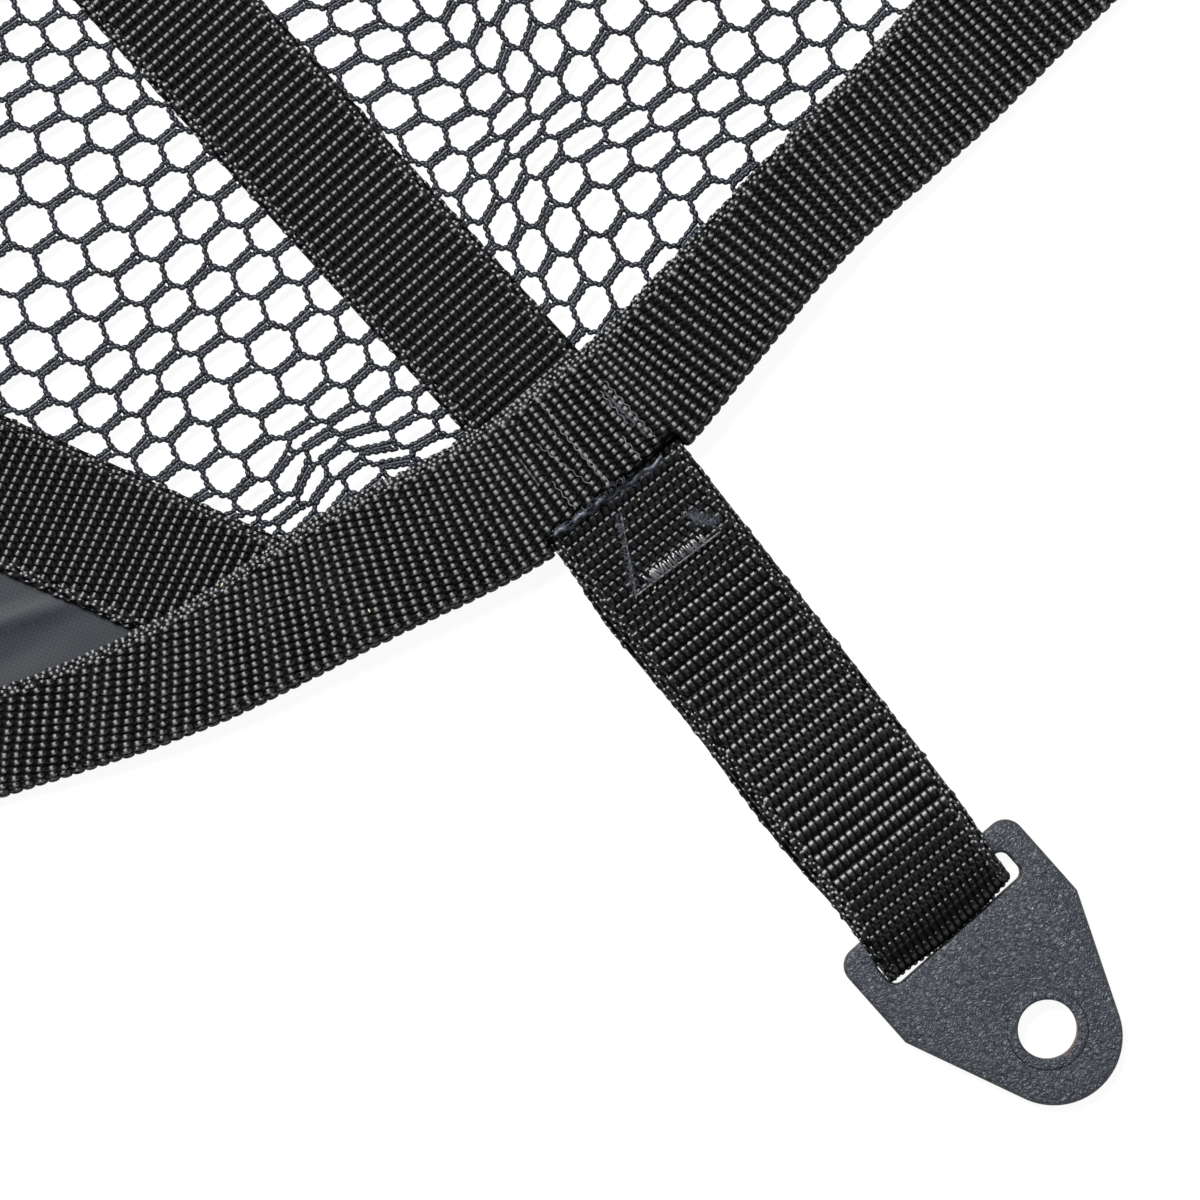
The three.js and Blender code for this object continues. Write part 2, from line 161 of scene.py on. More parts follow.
# Straps: where each leaves the edge and which way, the turn of its tab, how far its
# ends are tucked in, and the width of its slit
ANCHORS = [
    {"name": "lower", "x": 0.8, "y": -0.3, "angle": -75, "turn": 3.6, "tuck": 8, "slit": 28},
    {"name": "rear_lower", "x": 267.5, "y": 111, "angle": -32.5, "turn": -2.4, "tuck": 16, "slit": 29},
    {"name": "rear_upper", "x": 241.5, "y": 410.7, "angle": 47, "turn": 1.8, "tuck": 16, "slit": 30},
    {"name": "upper", "x": -143, "y": 415, "angle": 117, "turn": -3.2, "tuck": 8, "slit": 28},
    {"name": "front", "x": -340, "y": 32, "angle": 208, "turn": 2.6, "tuck": 16, "slit": 31},
]
# Where the second band goes under the binding
CROSSINGS = [(-58, -6.8), (-253, 217)]
# Middle lines of the two bands
MIDDLE_BAND = {"from": (-2.5, 9.1), "to": (-139.4, 405.6), "width": 21.0}
SECOND_BAND = {"from": (-53.3, 4.0), "to": (-247.3, 211.9), "width": 21.6}
# Stitches are made this far from the picture's middle, just past its edge
CLOSE_UP = VIEW["width"] / 2 + 4
# Layers rise over a strap's tucked ends: their middle, and where the rise starts and ends
OVER_STRAP = {"inside": 8, "flat": 28, "end": 82}
# Low waves of net and cloth, which die out towards the edge
WAVES = {"height": 0.5, "long": 21, "wide": 27, "calm": (30, 70)}


def smooth_line(rows, closed, steps):
    """Points on the centripetal curve through the rows."""
    rows = np.array(rows, float)
    count = len(rows)
    share = np.linspace(0, 1, steps, endpoint=False)[:, None]
    pieces = []
    for i in range(count if closed else count - 1):
        b, c = rows[i], rows[(i + 1) % count]
        a = rows[i - 1] if closed or i else 2 * b - c
        d = rows[(i + 2) % count] if closed or i + 2 < count else 2 * c - b
        ab, bc, cd = (max(np.linalg.norm(q - p) ** 0.5, 1e-4) for p, q in ((a, b), (b, c), (c, d)))
        start = ((b - a) / ab - (c - a) / (ab + bc) + (c - b) / bc) * bc
        end = ((c - b) / bc - (d - b) / (bc + cd) + (d - c) / cd) * bc
        pieces.append(b + start * share + (3 * (c - b) - 2 * start - end) * share ** 2
                      + (2 * (b - c) + start + end) * share ** 3)
    if not closed:
        pieces.append(rows[-1:])
    return np.concatenate(pieces)


def way_along(line):
    """Length along a line at each of its points."""
    return np.concatenate([[0], np.cumsum(np.linalg.norm(np.diff(line, axis=0), axis=1))])


def unit(vectors):
    """Vectors of length one with the same headings."""
    return vectors / np.linalg.norm(vectors, axis=-1, keepdims=True)


edge_line = smooth_line(EDGE, True, 60)
edge_loop = np.vstack([edge_line, edge_line[:1]])
edge_way = way_along(edge_loop)
edge_length = edge_way[-1]
edge_heading = np.gradient(edge_loop[:, :2], edge_way, axis=0)
edge_tree = kdtree.KDTree(len(edge_line))
for i, (x, y, _) in enumerate(edge_line):
    edge_tree.insert((x, y, 0), i)
edge_tree.balance()


def from_edge(along, inwards):
    """Plan points a way along the outer edge and a way in from it."""
    along = np.asarray(along, float) % edge_length
    x, y = (np.interp(along, edge_way, edge_loop[:, k]) for k in (0, 1))
    tx, ty = (np.interp(along, edge_way, edge_heading[:, k]) for k in (0, 1))
    size = np.hypot(tx, ty)
    return np.stack([x - ty / size * inwards, y + tx / size * inwards], -1)


def leg_at(along):
    """Width of the binding's upper leg."""
    return np.interp(np.asarray(along) % edge_length, edge_way, edge_loop[:, 2])


def to_edge(xy):
    """Distance of plan points to the outer edge, and the way along it."""
    found = [edge_tree.find((x, y, 0)) for x, y in xy]
    return np.array([f[2] for f in found]), np.array([edge_way[f[1]] for f in found])


def inside_edge(xy):
    """Whether plan points lie within the outline."""
    x, y = xy[:, 0, None], xy[:, 1, None]
    ax, ay, bx, by = edge_loop[:-1, 0], edge_loop[:-1, 1], edge_loop[1:, 0], edge_loop[1:, 1]
    crosses = ((ay > y) != (by > y)) & (x < (bx - ax) * (y - ay) / (by - ay + 1e-12) + ax)
    return crosses.sum(1) % 2 == 1


def ease(value, low, high):
    """A smooth step from 0 to 1."""
    share = np.clip((value - low) / (high - low), 0, 1)
    return share * share * (3 - 2 * share)


def anchor_rise(xy):
    """How far a layer is lifted by the straps' tucked ends."""
    away = []
    for anchor in ANCHORS:
        turn = math.radians(anchor["angle"])
        away.append(np.hypot(xy[..., 0] - anchor["x"] + OVER_STRAP["inside"] * math.cos(turn),
                             xy[..., 1] - anchor["y"] + OVER_STRAP["inside"] * math.sin(turn)))
    return LAYER_RISE * (1 - ease(np.min(away, axis=0), OVER_STRAP["flat"], OVER_STRAP["end"]))


def cloth_rise(xy):
    """Rise of net, cloth and bands over the straps, and their low waves."""
    flat = xy.reshape(-1, 2)
    calm = ease(to_edge(flat)[0], *WAVES["calm"]).reshape(xy.shape[:-1])
    x, y = xy[..., 0] / WAVES["long"], xy[..., 1] / WAVES["wide"]
    return anchor_rise(xy) + calm * WAVES["height"] * np.sin(x + np.sin(y)) * np.cos(y)


def across_band(xy, band):
    """Way along a band and sideways from its centre line, to its left."""
    start, end = np.array(band["from"]), np.array(band["to"])
    along = unit(end - start)
    off = xy - start
    return off @ along, off @ np.array([-along[1], along[0]])


def in_close_up(xy):
    """Whether plan points lie in the picture, which is rolled on the plan."""
    turn = math.radians(VIEW["roll"])
    off = xy - VIEW["centre"]
    right = off[..., 0] * math.cos(turn) - off[..., 1] * math.sin(turn)
    up = off[..., 0] * math.sin(turn) + off[..., 1] * math.cos(turn)
    return (abs(right) < CLOSE_UP) & (abs(up) < CLOSE_UP)


def noise_field(xy, seed, wave):
    """Smooth random values between about -1 and 1 over the plan."""
    dice = np.random.default_rng(seed)
    total = np.zeros(xy.shape[:-1])
    for _ in range(7):
        turn, shift = dice.uniform(0, 2 * math.pi), dice.uniform(0, 6.3)
        way = xy[..., 0] * math.cos(turn) + xy[..., 1] * math.sin(turn)
        total += np.sin(way / (wave * dice.uniform(0.6, 1.5)) + shift)
    return total / 3.2


# Holes of the knit in the close-up, in front of the middle band and behind it. Each row
# is (leg, first row of holes, their middles), as the real net lies, pushed together
# beside the corner
HOLES_FRONT = [
    (-6, -3, [(-49.1, 98.3), (-54.8, 99.7)]),
    (-5, -3, [(-46.9, 92.4), (-52.6, 94.0)]),
    (-4, -3, [(-44.7, 86.6), (-50.4, 88.2), (-57.7, 89.7)]),
    (-3, -2, [(-48.1, 82.1), (-55.4, 83.8)]),
    (-2, -2, [(-45.7, 76.0), (-53.0, 77.2), (-60.4, 78.9)]),
    (-1, -2, [(-43.4, 70.1), (-50.6, 70.6), (-57.9, 72.0), (-65.3, 73.7)]),
    (0, -2, [(-41.2, 64.6), (-48.1, 64.6), (-55.4, 65.2), (-62.7, 66.8)]),
    (1, -2, [(-38.9, 59.0), (-45.8, 59.1), (-52.8, 59.2), (-60.1, 60.1), (-67.4, 61.5)]),
    (2, -2, [(-36.4, 53.4), (-43.5, 53.7), (-50.4, 53.8), (-57.5, 53.9), (-64.7, 54.7), (-72.2, 56.1)]),
    (3, -2, [(-34.1, 47.5), (-41.1, 48.2), (-48.2, 48.8), (-55.2, 48.8), (-62.1, 48.6), (-69.2, 49.6)]),
    (4, -2, [(-31.6, 41.4), (-38.7, 42.1), (-45.8, 43.4), (-53.0, 44.2), (-59.8, 43.7), (-66.6, 43.7),
            (-73.3, 44.9)]),
    (5, -2, [(-29.2, 35.7), (-36.3, 35.9), (-43.4, 37.0), (-50.6, 38.8), (-57.6, 39.2), (-64.2, 38.5),
            (-69.9, 39.6)]),
    (6, -2, [(-27.0, 30.5), (-33.9, 30.7), (-41.1, 30.9), (-48.1, 32.1), (-55.1, 33.6), (-61.8, 33.4)]),
    (7, -2, [(-25.6, 26.0), (-31.9, 26.9), (-37.8, 28.0), (-46.2, 26.8), (-52.7, 27.3), (-58.9, 28.5)]),
    (8, -2, [(-23.8, 22.0), (-30.5, 23.3), (-37.5, 26.0), (-43.0, 23.7), (-49.9, 21.7)]),
    (9, -2, [(-21.8, 18.2), (-28.9, 19.7), (-35.9, 22.9), (-40.8, 20.2), (-47.3, 19.3)]),
    (10, 0, [(-33.8, 19.2)]),
]
HOLES_REAR = [
    (-6, 1, [(7.1, 75.8), (1.6, 75.7), (-5.3, 78.2), (-12.3, 79.8)]),
    (-5, 0, [(14.0, 73.2), (9.4, 71.3), (3.8, 70.4), (-3.1, 72.4), (-10.2, 74.2)]),
    (-4, -1, [(23.1, 68.4), (16.9, 67.5), (11.9, 65.9), (6.3, 64.9), (-0.6, 66.4), (-7.7, 68.3)]),
    (-3, -2, [(33.1, 62.8), (26.5, 62.3), (20.3, 61.7), (14.5, 61.1), (8.4, 60.0), (1.6, 60.1),
            (-5.3, 62.0)]),
    (-2, -4, [(49.9, 55.7), (42.9, 56.1), (35.9, 56.4), (29.0, 56.3), (22.3, 56.2), (15.5, 56.8),
            (9.0, 56.7), (2.7, 55.7), (-3.3, 56.0)]),
    (-1, -4, [(52.8, 49.4), (45.5, 49.8), (38.4, 50.9), (31.2, 51.5), (24.0, 51.6), (16.8, 52.5),
            (10.0, 53.0), (4.3, 52.1), (-1.1, 50.5)]),
    (0, -3, [(47.6, 45.1), (40.7, 45.5), (33.6, 47.1), (26.0, 47.4), (18.7, 47.9), (11.9, 48.1),
            (5.8, 47.3), (0.8, 45.5)]),
    (1, -1, [(35.6, 41.5), (28.9, 41.9), (21.7, 42.1), (14.8, 42.1), (8.5, 41.5), (3.2, 40.4)]),
    (2, 1, [(24.5, 36.1), (18.1, 35.6), (11.7, 35.3), (5.8, 34.6)]),
    (3, 3, [(14.4, 29.4), (8.3, 28.7)]),
]
# From one hole to the next down a leg and along a row of the even knit
HOLE_STEP = np.array([(2.50, -6.05), (-7.05, 0.52)])
# Upper and lower end of a hole's thick side, in steps from its middle
LEG_HEAD, LEG_FOOT = np.array([-0.60, -0.29]), np.array([-0.32, 0.345])
# How stiffly the maps of the close-up smooth the places of its holes
MAP_STIFF = 0.15
# A point under the middle band, where the two maps and the even knit are made to meet
UNDER_BAND = np.array([-22.0, 56.0])
# The even knit passes into the maps: half width under the band, and their reach
KNIT_BLEND = {"under_band": 9, "middle": (-15, 45), "reach": (105, 250)}
# Elsewhere the holes stray this far, in waves of this length
KNIT_STRAY = {"size": 0.8, "wave": 25, "seeds": (3, 4)}
# Legs and rows of the knit that cover the whole panel
LEGS, ROWS = np.arange(-78, 30), np.arange(-74, 42)
# The panel is cut this far inside the outer edge, and past the seam with the cloth
PANEL_CUT, PAST_SEAM = 2.5, 0.7
# Shares of a side at which the cutting edge is looked for
CUT_SHARES = np.linspace(0.15, 0.9, 6)
# Thin sides sit a little above their places and bow round the hole above them
ARC_LIFT, ARC_BOW = np.array([0.45, 0.3]), {"head": 0.32, "foot": 0.18}


def smooth_map(rows, stiff):
    """The smoothest sheet that carries holes, by leg and row, to their places."""
    from_rows = np.array(
        [(leg, first + k) for leg, first, spots in rows for k in range(len(spots))], float)
    to_spots = np.array([spot for _, _, spots in rows for spot in spots])

    def bend(gap):
        """How a thin plate gives at a distance."""
        return np.where(gap > 0, gap * gap * np.log(gap + 1e-12), 0)
    size = len(from_rows)
    pull = np.zeros((size + 3, size + 3))
    pull[:size, :size] = bend(np.linalg.norm(from_rows[:, None] - from_rows, axis=2))
    pull[:size, :size] += stiff * np.eye(size)
    pull[:size, size] = pull[size, :size] = 1
    pull[:size, size + 1:], pull[size + 1:, :size] = from_rows, from_rows.T
    weight = np.linalg.solve(pull, np.vstack([to_spots, np.zeros((3, 2))]))

    def place(at):
        """Plan points of legs and rows."""
        gaps = bend(np.linalg.norm(at[:, None] - from_rows, axis=2))
        return gaps @ weight[:size] + weight[size] + at @ weight[size + 1:]
    return place


front_map, rear_map = smooth_map(HOLES_FRONT, MAP_STIFF), smooth_map(HOLES_REAR, MAP_STIFF)


def rows_under_band(place):
    """Leg and row that a map carries to the middle of the band."""
    at = np.zeros((1, 2))
    for _ in range(30):
        at = at + (UNDER_BAND - place(at)) @ np.linalg.inv(HOLE_STEP) * 0.7
    return at


at_band = rows_under_band(front_map)
rear_offset = np.round(rows_under_band(rear_map) - at_band)


def knit_points(rows):
    """Plan points of given legs and rows of the knit."""
    even = UNDER_BAND + (rows - at_band) @ HOLE_STEP
    front, rear = front_map(rows), rear_map(rows + rear_offset)
    side = across_band(even, MIDDLE_BAND)[1]
    share = ease(side, -KNIT_BLEND["under_band"], KNIT_BLEND["under_band"])[:, None]
    close = front * share + rear * (1 - share)
    away = np.hypot(*(even - np.array(KNIT_BLEND["middle"])).T)
    held = 1 - ease(away, *KNIT_BLEND["reach"])[:, None]
    stray = np.stack([noise_field(even, seed, KNIT_STRAY["wave"]) for seed in KNIT_STRAY["seeds"]], 1)
    return even + (close - even) * held + stray * KNIT_STRAY["size"] * (1 - held)


def on_panel(xy):
    """Whether plan points lie on the cut mesh panel."""
    in_front = across_band(xy, SECOND_BAND)[1] < -PAST_SEAM
    return inside_edge(xy) & (to_edge(xy)[0] > PANEL_CUT) & in_front


leg_index, row_index = np.meshgrid(LEGS, ROWS, indexing="ij")
places = np.stack([leg_index.ravel(), row_index.ravel()], 1).astype(float)
ends = {"head": knit_points(places + LEG_HEAD), "foot": knit_points(places + LEG_FOOT)}
ends_in = {kind: on_panel(points) for kind, points in ends.items()}
number_of = {(int(i), int(j)): n for n, (i, j) in enumerate(places)}
# Each leg of the knit has a thick side and two thin ones: (start, end, is thick)
sides = []
for (i, j), n in number_of.items():
    right, below = number_of.get((i, j - 1)), number_of.get((i + 1, j + 1))
    sides.append((("head", n), ("foot", n), True))
    if right is not None:
        sides.append((("head", n), ("foot", right), False))
    if below is not None:
        sides.append((("foot", n), ("head", below), False))


def place_of(end):
    """Plan point of one end of a side."""
    return ends[end[0]][end[1]].copy()


def lies_in(end):
    """Whether one end of a side lies on the panel."""
    return ends_in[end[0]][end[1]]


yarn_lines = {"whole": [], "cut": []}
for start, end, thick in sides:
    if not (lies_in(start) or lies_in(end)):
        continue
    a, b = place_of(start), place_of(end)
    whole = lies_in(start) and lies_in(end)
    if not whole:
        inner, outer = (a, b) if lies_in(start) else (b, a)
        reach = [share for share in CUT_SHARES if on_panel((inner + (outer - inner) * share)[None])[0]]
        outer[:] = inner + (outer - inner) * (reach[-1] if reach else CUT_SHARES[0])
    if whole and not thick:
        head = a if start[0] == "head" else b
        head += ARC_LIFT
    yarn_lines["whole" if whole else "cut"].append((a, b, thick, start[0]))


def side_points(a, b, thick, kind, count):
    """Points of one side of a hole: thin ones bow round the hole above them."""
    share = np.linspace(0, 1, count)[:, None]
    line = a + (b - a) * share
    if not thick:
        normal = unit(np.array([b[1] - a[1], a[0] - b[0]]))
        line = line + normal * ARC_BOW[kind] * 4 * share * (1 - share)
    return line


def node_tree(name, sockets):
    """An empty geometry tree with named inputs, and its inputs' identifiers."""
    tree = bpy.data.node_groups.new(name, "GeometryNodeTree")
    tree.interface.new_socket(name="Geometry", in_out="INPUT", socket_type="NodeSocketGeometry")
    names = {}
    for title, kind in sockets:
        names[title] = tree.interface.new_socket(
            name=title, in_out="INPUT", socket_type="NodeSocket" + kind).identifier
    tree.interface.new_socket(name="Geometry", in_out="OUTPUT", socket_type="NodeSocketGeometry")
    source, sink = tree.nodes.new("NodeGroupInput"), tree.nodes.new("NodeGroupOutput")
    return tree, names, source, sink


def read_point(nodes, title, kind):
    """The number or vector that is marked on each point, as a tree reads it."""
    made = nodes.new("GeometryNodeInputNamedAttribute")
    made.data_type = kind
    made.inputs["Name"].default_value = title
    return made.outputs["Attribute"]


def end_tree(tree, made, source, sink):
    """Ends a tree: its geometry made real, smooth and in the yarn of its input."""
    nodes, links = tree.nodes, tree.links
    realize = nodes.new("GeometryNodeRealizeInstances")
    shade = nodes.new("GeometryNodeSetShadeSmooth")
    paint = nodes.new("GeometryNodeSetMaterial")
    links.new(made, realize.inputs["Geometry"])
    links.new(realize.outputs["Geometry"], shade.inputs["Geometry"])
    links.new(shade.outputs["Geometry"], paint.inputs["Geometry"])
    links.new(source.outputs["Yarn"], paint.inputs["Material"])
    links.new(paint.outputs["Geometry"], sink.inputs["Geometry"])


def run_tree(name, mesh, tree, names, values):
    """The plain mesh that a geometry tree makes of a mesh."""
    holder = bpy.data.objects.new(name, mesh)
    bpy.context.scene.collection.objects.link(holder)
    step = holder.modifiers.new("make", "NODES")
    step.node_group = tree
    for title, value in values.items():
        step[names[title]] = value
    depsgraph = bpy.context.evaluated_depsgraph_get()
    made = bpy.data.meshes.new_from_object(holder.evaluated_get(depsgraph))
    holder.modifiers.clear()
    bpy.data.objects.remove(holder)
    return made


def mark_points(mesh, title, values):
    """A named number or vector on each point of a mesh."""
    values = np.asarray(values, np.float32)
    kind, field = ("FLOAT", "value") if values.ndim == 1 else ("FLOAT_VECTOR", "vector")
    mesh.attributes.new(title, kind, "POINT").data.foreach_set(field, values.ravel())


# Yarn that follows lines: the lines' edges become round yarn with a number of sides
along_tree, along_names, source, sink = node_tree(
    "yarn_along_lines", [("Sides", "Int"), ("Closed ends", "Bool"), ("Yarn", "Material")])
nodes, links = along_tree.nodes, along_tree.links
to_curve = nodes.new("GeometryNodeMeshToCurve")
ring = set_sockets(nodes.new("GeometryNodeCurvePrimitiveCircle"), {"Radius": 1.0})
set_radius = nodes.new("GeometryNodeSetCurveRadius")
sweep = nodes.new("GeometryNodeCurveToMesh")
radius = read_point(nodes, "radius", "FLOAT")
links.new(source.outputs["Geometry"], to_curve.inputs["Mesh"])
links.new(to_curve.outputs["Curve"], set_radius.inputs["Curve"])
links.new(radius, set_radius.inputs["Radius"])
links.new(source.outputs["Sides"], ring.inputs["Resolution"])
links.new(set_radius.outputs["Curve"], sweep.inputs["Curve"])
links.new(ring.outputs["Curve"], sweep.inputs["Profile Curve"])
links.new(source.outputs["Closed ends"], sweep.inputs["Fill Caps"])
links.new(radius, sweep.inputs["Scale"])
end_tree(along_tree, sweep.outputs["Mesh"], source, sink)


def yarn_along(name, lines, radii, sides, closed, material):
    """Round yarn along many lines, each an array of points in the frame."""
    points = np.concatenate(lines)
    starts = np.cumsum([0] + [len(line) for line in lines])
    pairs = [(k, k + 1) for s, e in zip(starts[:-1], starts[1:]) for k in range(s, e - 1)]
    mesh = bpy.data.meshes.new(name)
    mesh.from_pydata(points.tolist(), pairs, [])
    mark_points(mesh, "radius", np.concatenate(radii))
    return run_tree(name, mesh, along_tree, along_names,
                    {"Sides": sides, "Closed ends": closed, "Yarn": material})


# Stitches: one small round-ended stitch at each point, turned along its heading
stitch_tree, stitch_names, source, sink = node_tree(
    "stitches_at_points", [("Sides", "Int"), ("Rings", "Int"), ("Length", "Float"),
                           ("Width", "Float"), ("Height", "Float"), ("Yarn", "Material")])
nodes, links = stitch_tree.nodes, stitch_tree.links
bead = set_sockets(nodes.new("GeometryNodeMeshUVSphere"), {"Radius": 0.5})
sizes_of = nodes.new("ShaderNodeCombineXYZ")
shape_bead = nodes.new("GeometryNodeTransform")
place_bead = nodes.new("GeometryNodeInstanceOnPoints")
turn_bead = nodes.new("FunctionNodeAxesToRotation")
turn_bead.primary_axis, turn_bead.secondary_axis = "Z", "X"
for title, socket in (("Sides", bead.inputs["Segments"]), ("Rings", bead.inputs["Rings"]),
                      ("Height", sizes_of.inputs["X"]), ("Width", sizes_of.inputs["Y"]),
                      ("Length", sizes_of.inputs["Z"]), ("Geometry", place_bead.inputs["Points"])):
    links.new(source.outputs[title], socket)
for title, kind, socket in (("heading", "FLOAT_VECTOR", turn_bead.inputs["Primary Axis"]),
                            ("up", "FLOAT_VECTOR", turn_bead.inputs["Secondary Axis"]),
                            ("grow", "FLOAT", place_bead.inputs["Scale"])):
    links.new(read_point(nodes, title, kind), socket)
links.new(bead.outputs["Mesh"], shape_bead.inputs["Geometry"])
links.new(sizes_of.outputs[0], shape_bead.inputs["Scale"])
links.new(shape_bead.outputs[0], place_bead.inputs["Instance"])
links.new(turn_bead.outputs[0], place_bead.inputs["Rotation"])
end_tree(stitch_tree, place_bead.outputs[0], source, sink)


def lay_stitches(name, points, headings, ups, grow, size, material, sides=6, rings=5, tone=None):
    """Stitches of one size (length, width, height) in millimetres at plan points."""
    mesh = bpy.data.meshes.new(name)
    mesh.from_pydata(to_frame(points).tolist(), [], [])
    for title, values in (("heading", headings), ("up", ups), ("grow", grow),
                          ("tone", grow if tone is None else tone)):
        mark_points(mesh, title, values)
    length, width, height = (s * MM for s in size)
    return run_tree(name, mesh, stitch_tree, stitch_names, {
        "Sides": sides, "Rings": rings, "Length": length, "Width": width, "Height": height,
        "Yarn": material})


def join_meshes(name, meshes):
    """One object from plain meshes that share a frame."""
    objects = [bpy.data.objects.new(name, mesh) for mesh in meshes]
    for o in objects:
        bpy.context.scene.collection.objects.link(o)
    if len(objects) > 1:
        with bpy.context.temp_override(active_object=objects[0], object=objects[0],
                                       selected_objects=objects, selected_editable_objects=objects):
            bpy.ops.object.join()
    objects[0].name = name
    return objects[0]


def noise(nodes, place, scale, detail=2.0):
    """A cloudy pattern on a place that a node gives."""
    made = set_sockets(nodes.new("ShaderNodeTexNoise"), {"Scale": scale, "Detail": detail})
    made.id_data.links.new(place, made.inputs["Vector"])
    return made


def bump_of(nodes, height, strength, distance):
    """The bent normal that a height gives."""
    made = set_sockets(nodes.new("ShaderNodeBump"), {"Strength": strength, "Distance": distance})
    made.id_data.links.new(height, made.inputs["Height"])
    return made.outputs[0]


def yarn_material(name, dark, light, rough, grain, shine=0.5):
    """Spun or filament yarn: two tones, fine fibres and a soft gloss."""
    made, nodes, links, shader = new_finish(name)
    place = nodes.new("ShaderNodeTexCoord").outputs["Object"]
    cloud, fibre = noise(nodes, place, 420, 3), noise(nodes, place, grain)
    tones = two_tones(nodes, 0.32, 0.72, dark, light)
    links.new(cloud.outputs["Fac"], tones.inputs[0])
    links.new(tones.outputs[0], shader.inputs["Base Color"])
    links.new(bump_of(nodes, fibre.outputs["Fac"], 0.5, 0.00002), shader.inputs["Normal"])
    set_sockets(shader, {"Roughness": rough, "Specular IOR Level": shine})
    return made


net_yarn = yarn_material("net_yarn", (0.0018, 0.0032, 0.0065), (0.0085, 0.0125, 0.022), 0.46, 9000)
CLOTH_MID = CLOTH_Z + CLOTH_THICK / 2
# Radius of plain yarn on thick and thin sides; in the close-up it is a thinner core,
# a little lower, under the stitches
NET_YARN = {"thick": 0.68, "thin": 0.42, "core": 0.78, "core_drop": 0.16}
# Cut size of each net piece, and its area, in metres
NET_CUTS = {"net_front": {"flat": (0.245, 0.416), "area": 0.0422},
            "net_rear": {"flat": (0.410, 0.411), "area": 0.1214}}


def raised(xy, height):
    """Plan points at a height on the waves and rises of the cloth."""
    return np.column_stack([xy, height + cloth_rise(xy)])


net_sides = {name: {"whole": [], "cut": []} for name in NET_CUTS}
for cut, rows in yarn_lines.items():
    for a, b, thick, kind in rows:
        middle = (a + b) / 2
        name = "net_front" if across_band(middle[None], MIDDLE_BAND)[1][0] > 0 else "net_rear"
        net_sides[name][cut].append((side_points(a, b, thick, kind, 3), thick, middle))
for name, cuts in net_sides.items():
    made = []
    for cut, rows in cuts.items():
        points = raised(np.concatenate([row[0] for row in rows]), CLOTH_MID)
        near = in_close_up(np.array([row[2] for row in rows]))
        points[:, 2] -= NET_YARN["core_drop"] * np.repeat(near, 3)
        radii = []
        for (_, thick, _), close in zip(rows, near):
            plain = NET_YARN["thick" if thick else "thin"]
            radii.append(np.full(3, (plain * NET_YARN["core"] if close else plain) * MM))
        lines = np.split(to_frame(points), len(rows))
        made.append(yarn_along(name + cut, lines, radii, 4, cut == "whole", net_yarn))
    piece = join_meshes(name, made)
    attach(piece, "root")
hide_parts("mesh_panel")
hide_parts("mesh_panel")

# Stitches of the close-up: two columns on a thick side, one on a thin side
STITCH = {"length": 1.18, "width": 0.84, "height": 0.72, "pitch": 0.61}
# How far under a webbing the stitches go on
STITCH_UNDER = 2.5
# A column of a thick side: the share of the side, then how far ahead and aside
COLUMN = [(0, -0.75, 0.72), (0, 0.55, 0.50), (0.5, 0, 0.46), (1, -0.4, 0.44), (1, 0.35, 0.5)]
# Stitches lean and stand off the line to and fro
THICK_SWING = {"lean": 0.20, "off": 0.07, "lift": 0.06}
THIN_SWING = {"lean": 0.24, "off": 0.13, "lift": 0}


def shows_stitches(middle):
    """Whether a side of a hole is in the close-up and not under a webbing."""
    away, along = to_edge(middle)
    beside = [abs(across_band(middle, band)[1][0]) >= band["width"] / 2 - STITCH_UNDER
              for band in (MIDDLE_BAND, SECOND_BAND)]
    return in_close_up(middle)[0] and all(beside) and away[0] >= leg_at(along)[0] - STITCH_UNDER


dice = np.random.default_rng(11)
spots, turns, lifts = [], [], []
for start, end, thick in sides:
    if not (lies_in(start) and lies_in(end)):
        continue
    a, b = place_of(start), place_of(end)
    if not shows_stitches((a + b)[None] / 2):
        continue
    if thick:
        way = unit(b - a)
        left = np.array([-way[1], way[0]])
        columns = [np.array([a + (b - a) * share + way * ahead + left * sign * aside
                             for share, ahead, aside in COLUMN]) for sign in (-1, 1)]
    else:
        head = a if start[0] == "head" else b
        head += ARC_LIFT
        columns = [side_points(a, b, False, start[0], 5)]
    swing = THICK_SWING if thick else THIN_SWING
    for column in columns:
        line = smooth_line(column, False, 8)
        way = way_along(line)
        count = max(3, round(way[-1] / STITCH["pitch"]))
        at = (np.arange(count) + 0.5) / count * way[-1]
        points = np.stack([np.interp(at, way, line[:, k]) for k in (0, 1)], 1)
        ahead = unit(np.gradient(points, axis=0))
        aside = np.stack([-ahead[:, 1], ahead[:, 0]], 1)
        sign = np.where((np.arange(count) + dice.integers(2)) % 2, 1.0, -1.0)
        lean = sign * swing["lean"] + dice.normal(0, 0.07, count)
        offset = sign * swing["off"] + dice.normal(0, 0.025, count)
        heading = ahead * np.cos(lean)[:, None] - aside * np.sin(lean)[:, None]
        spots.append(points + aside * offset[:, None])
        turns.append(np.column_stack([heading, dice.normal(0, 0.12, count)]))
        lifts.append(dice.normal(0, 0.05, count) + swing["lift"])
spots, turns, lifts = np.concatenate(spots), np.concatenate(turns), np.concatenate(lifts)
stitch_points = raised(spots, CLOTH_MID)
stitch_points[:, 2] += lifts
stitch_mesh = lay_stitches(
    "net_stitches", stitch_points, turns, np.tile([0, 0, 1], (len(spots), 1)),
    dice.uniform(0.9, 1.12, len(spots)), (STITCH["length"], STITCH["width"], STITCH["height"]),
    net_yarn, sides=5, rings=4)
net_stitches = join_meshes("net_stitches", [stitch_mesh])
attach(net_stitches, "root")

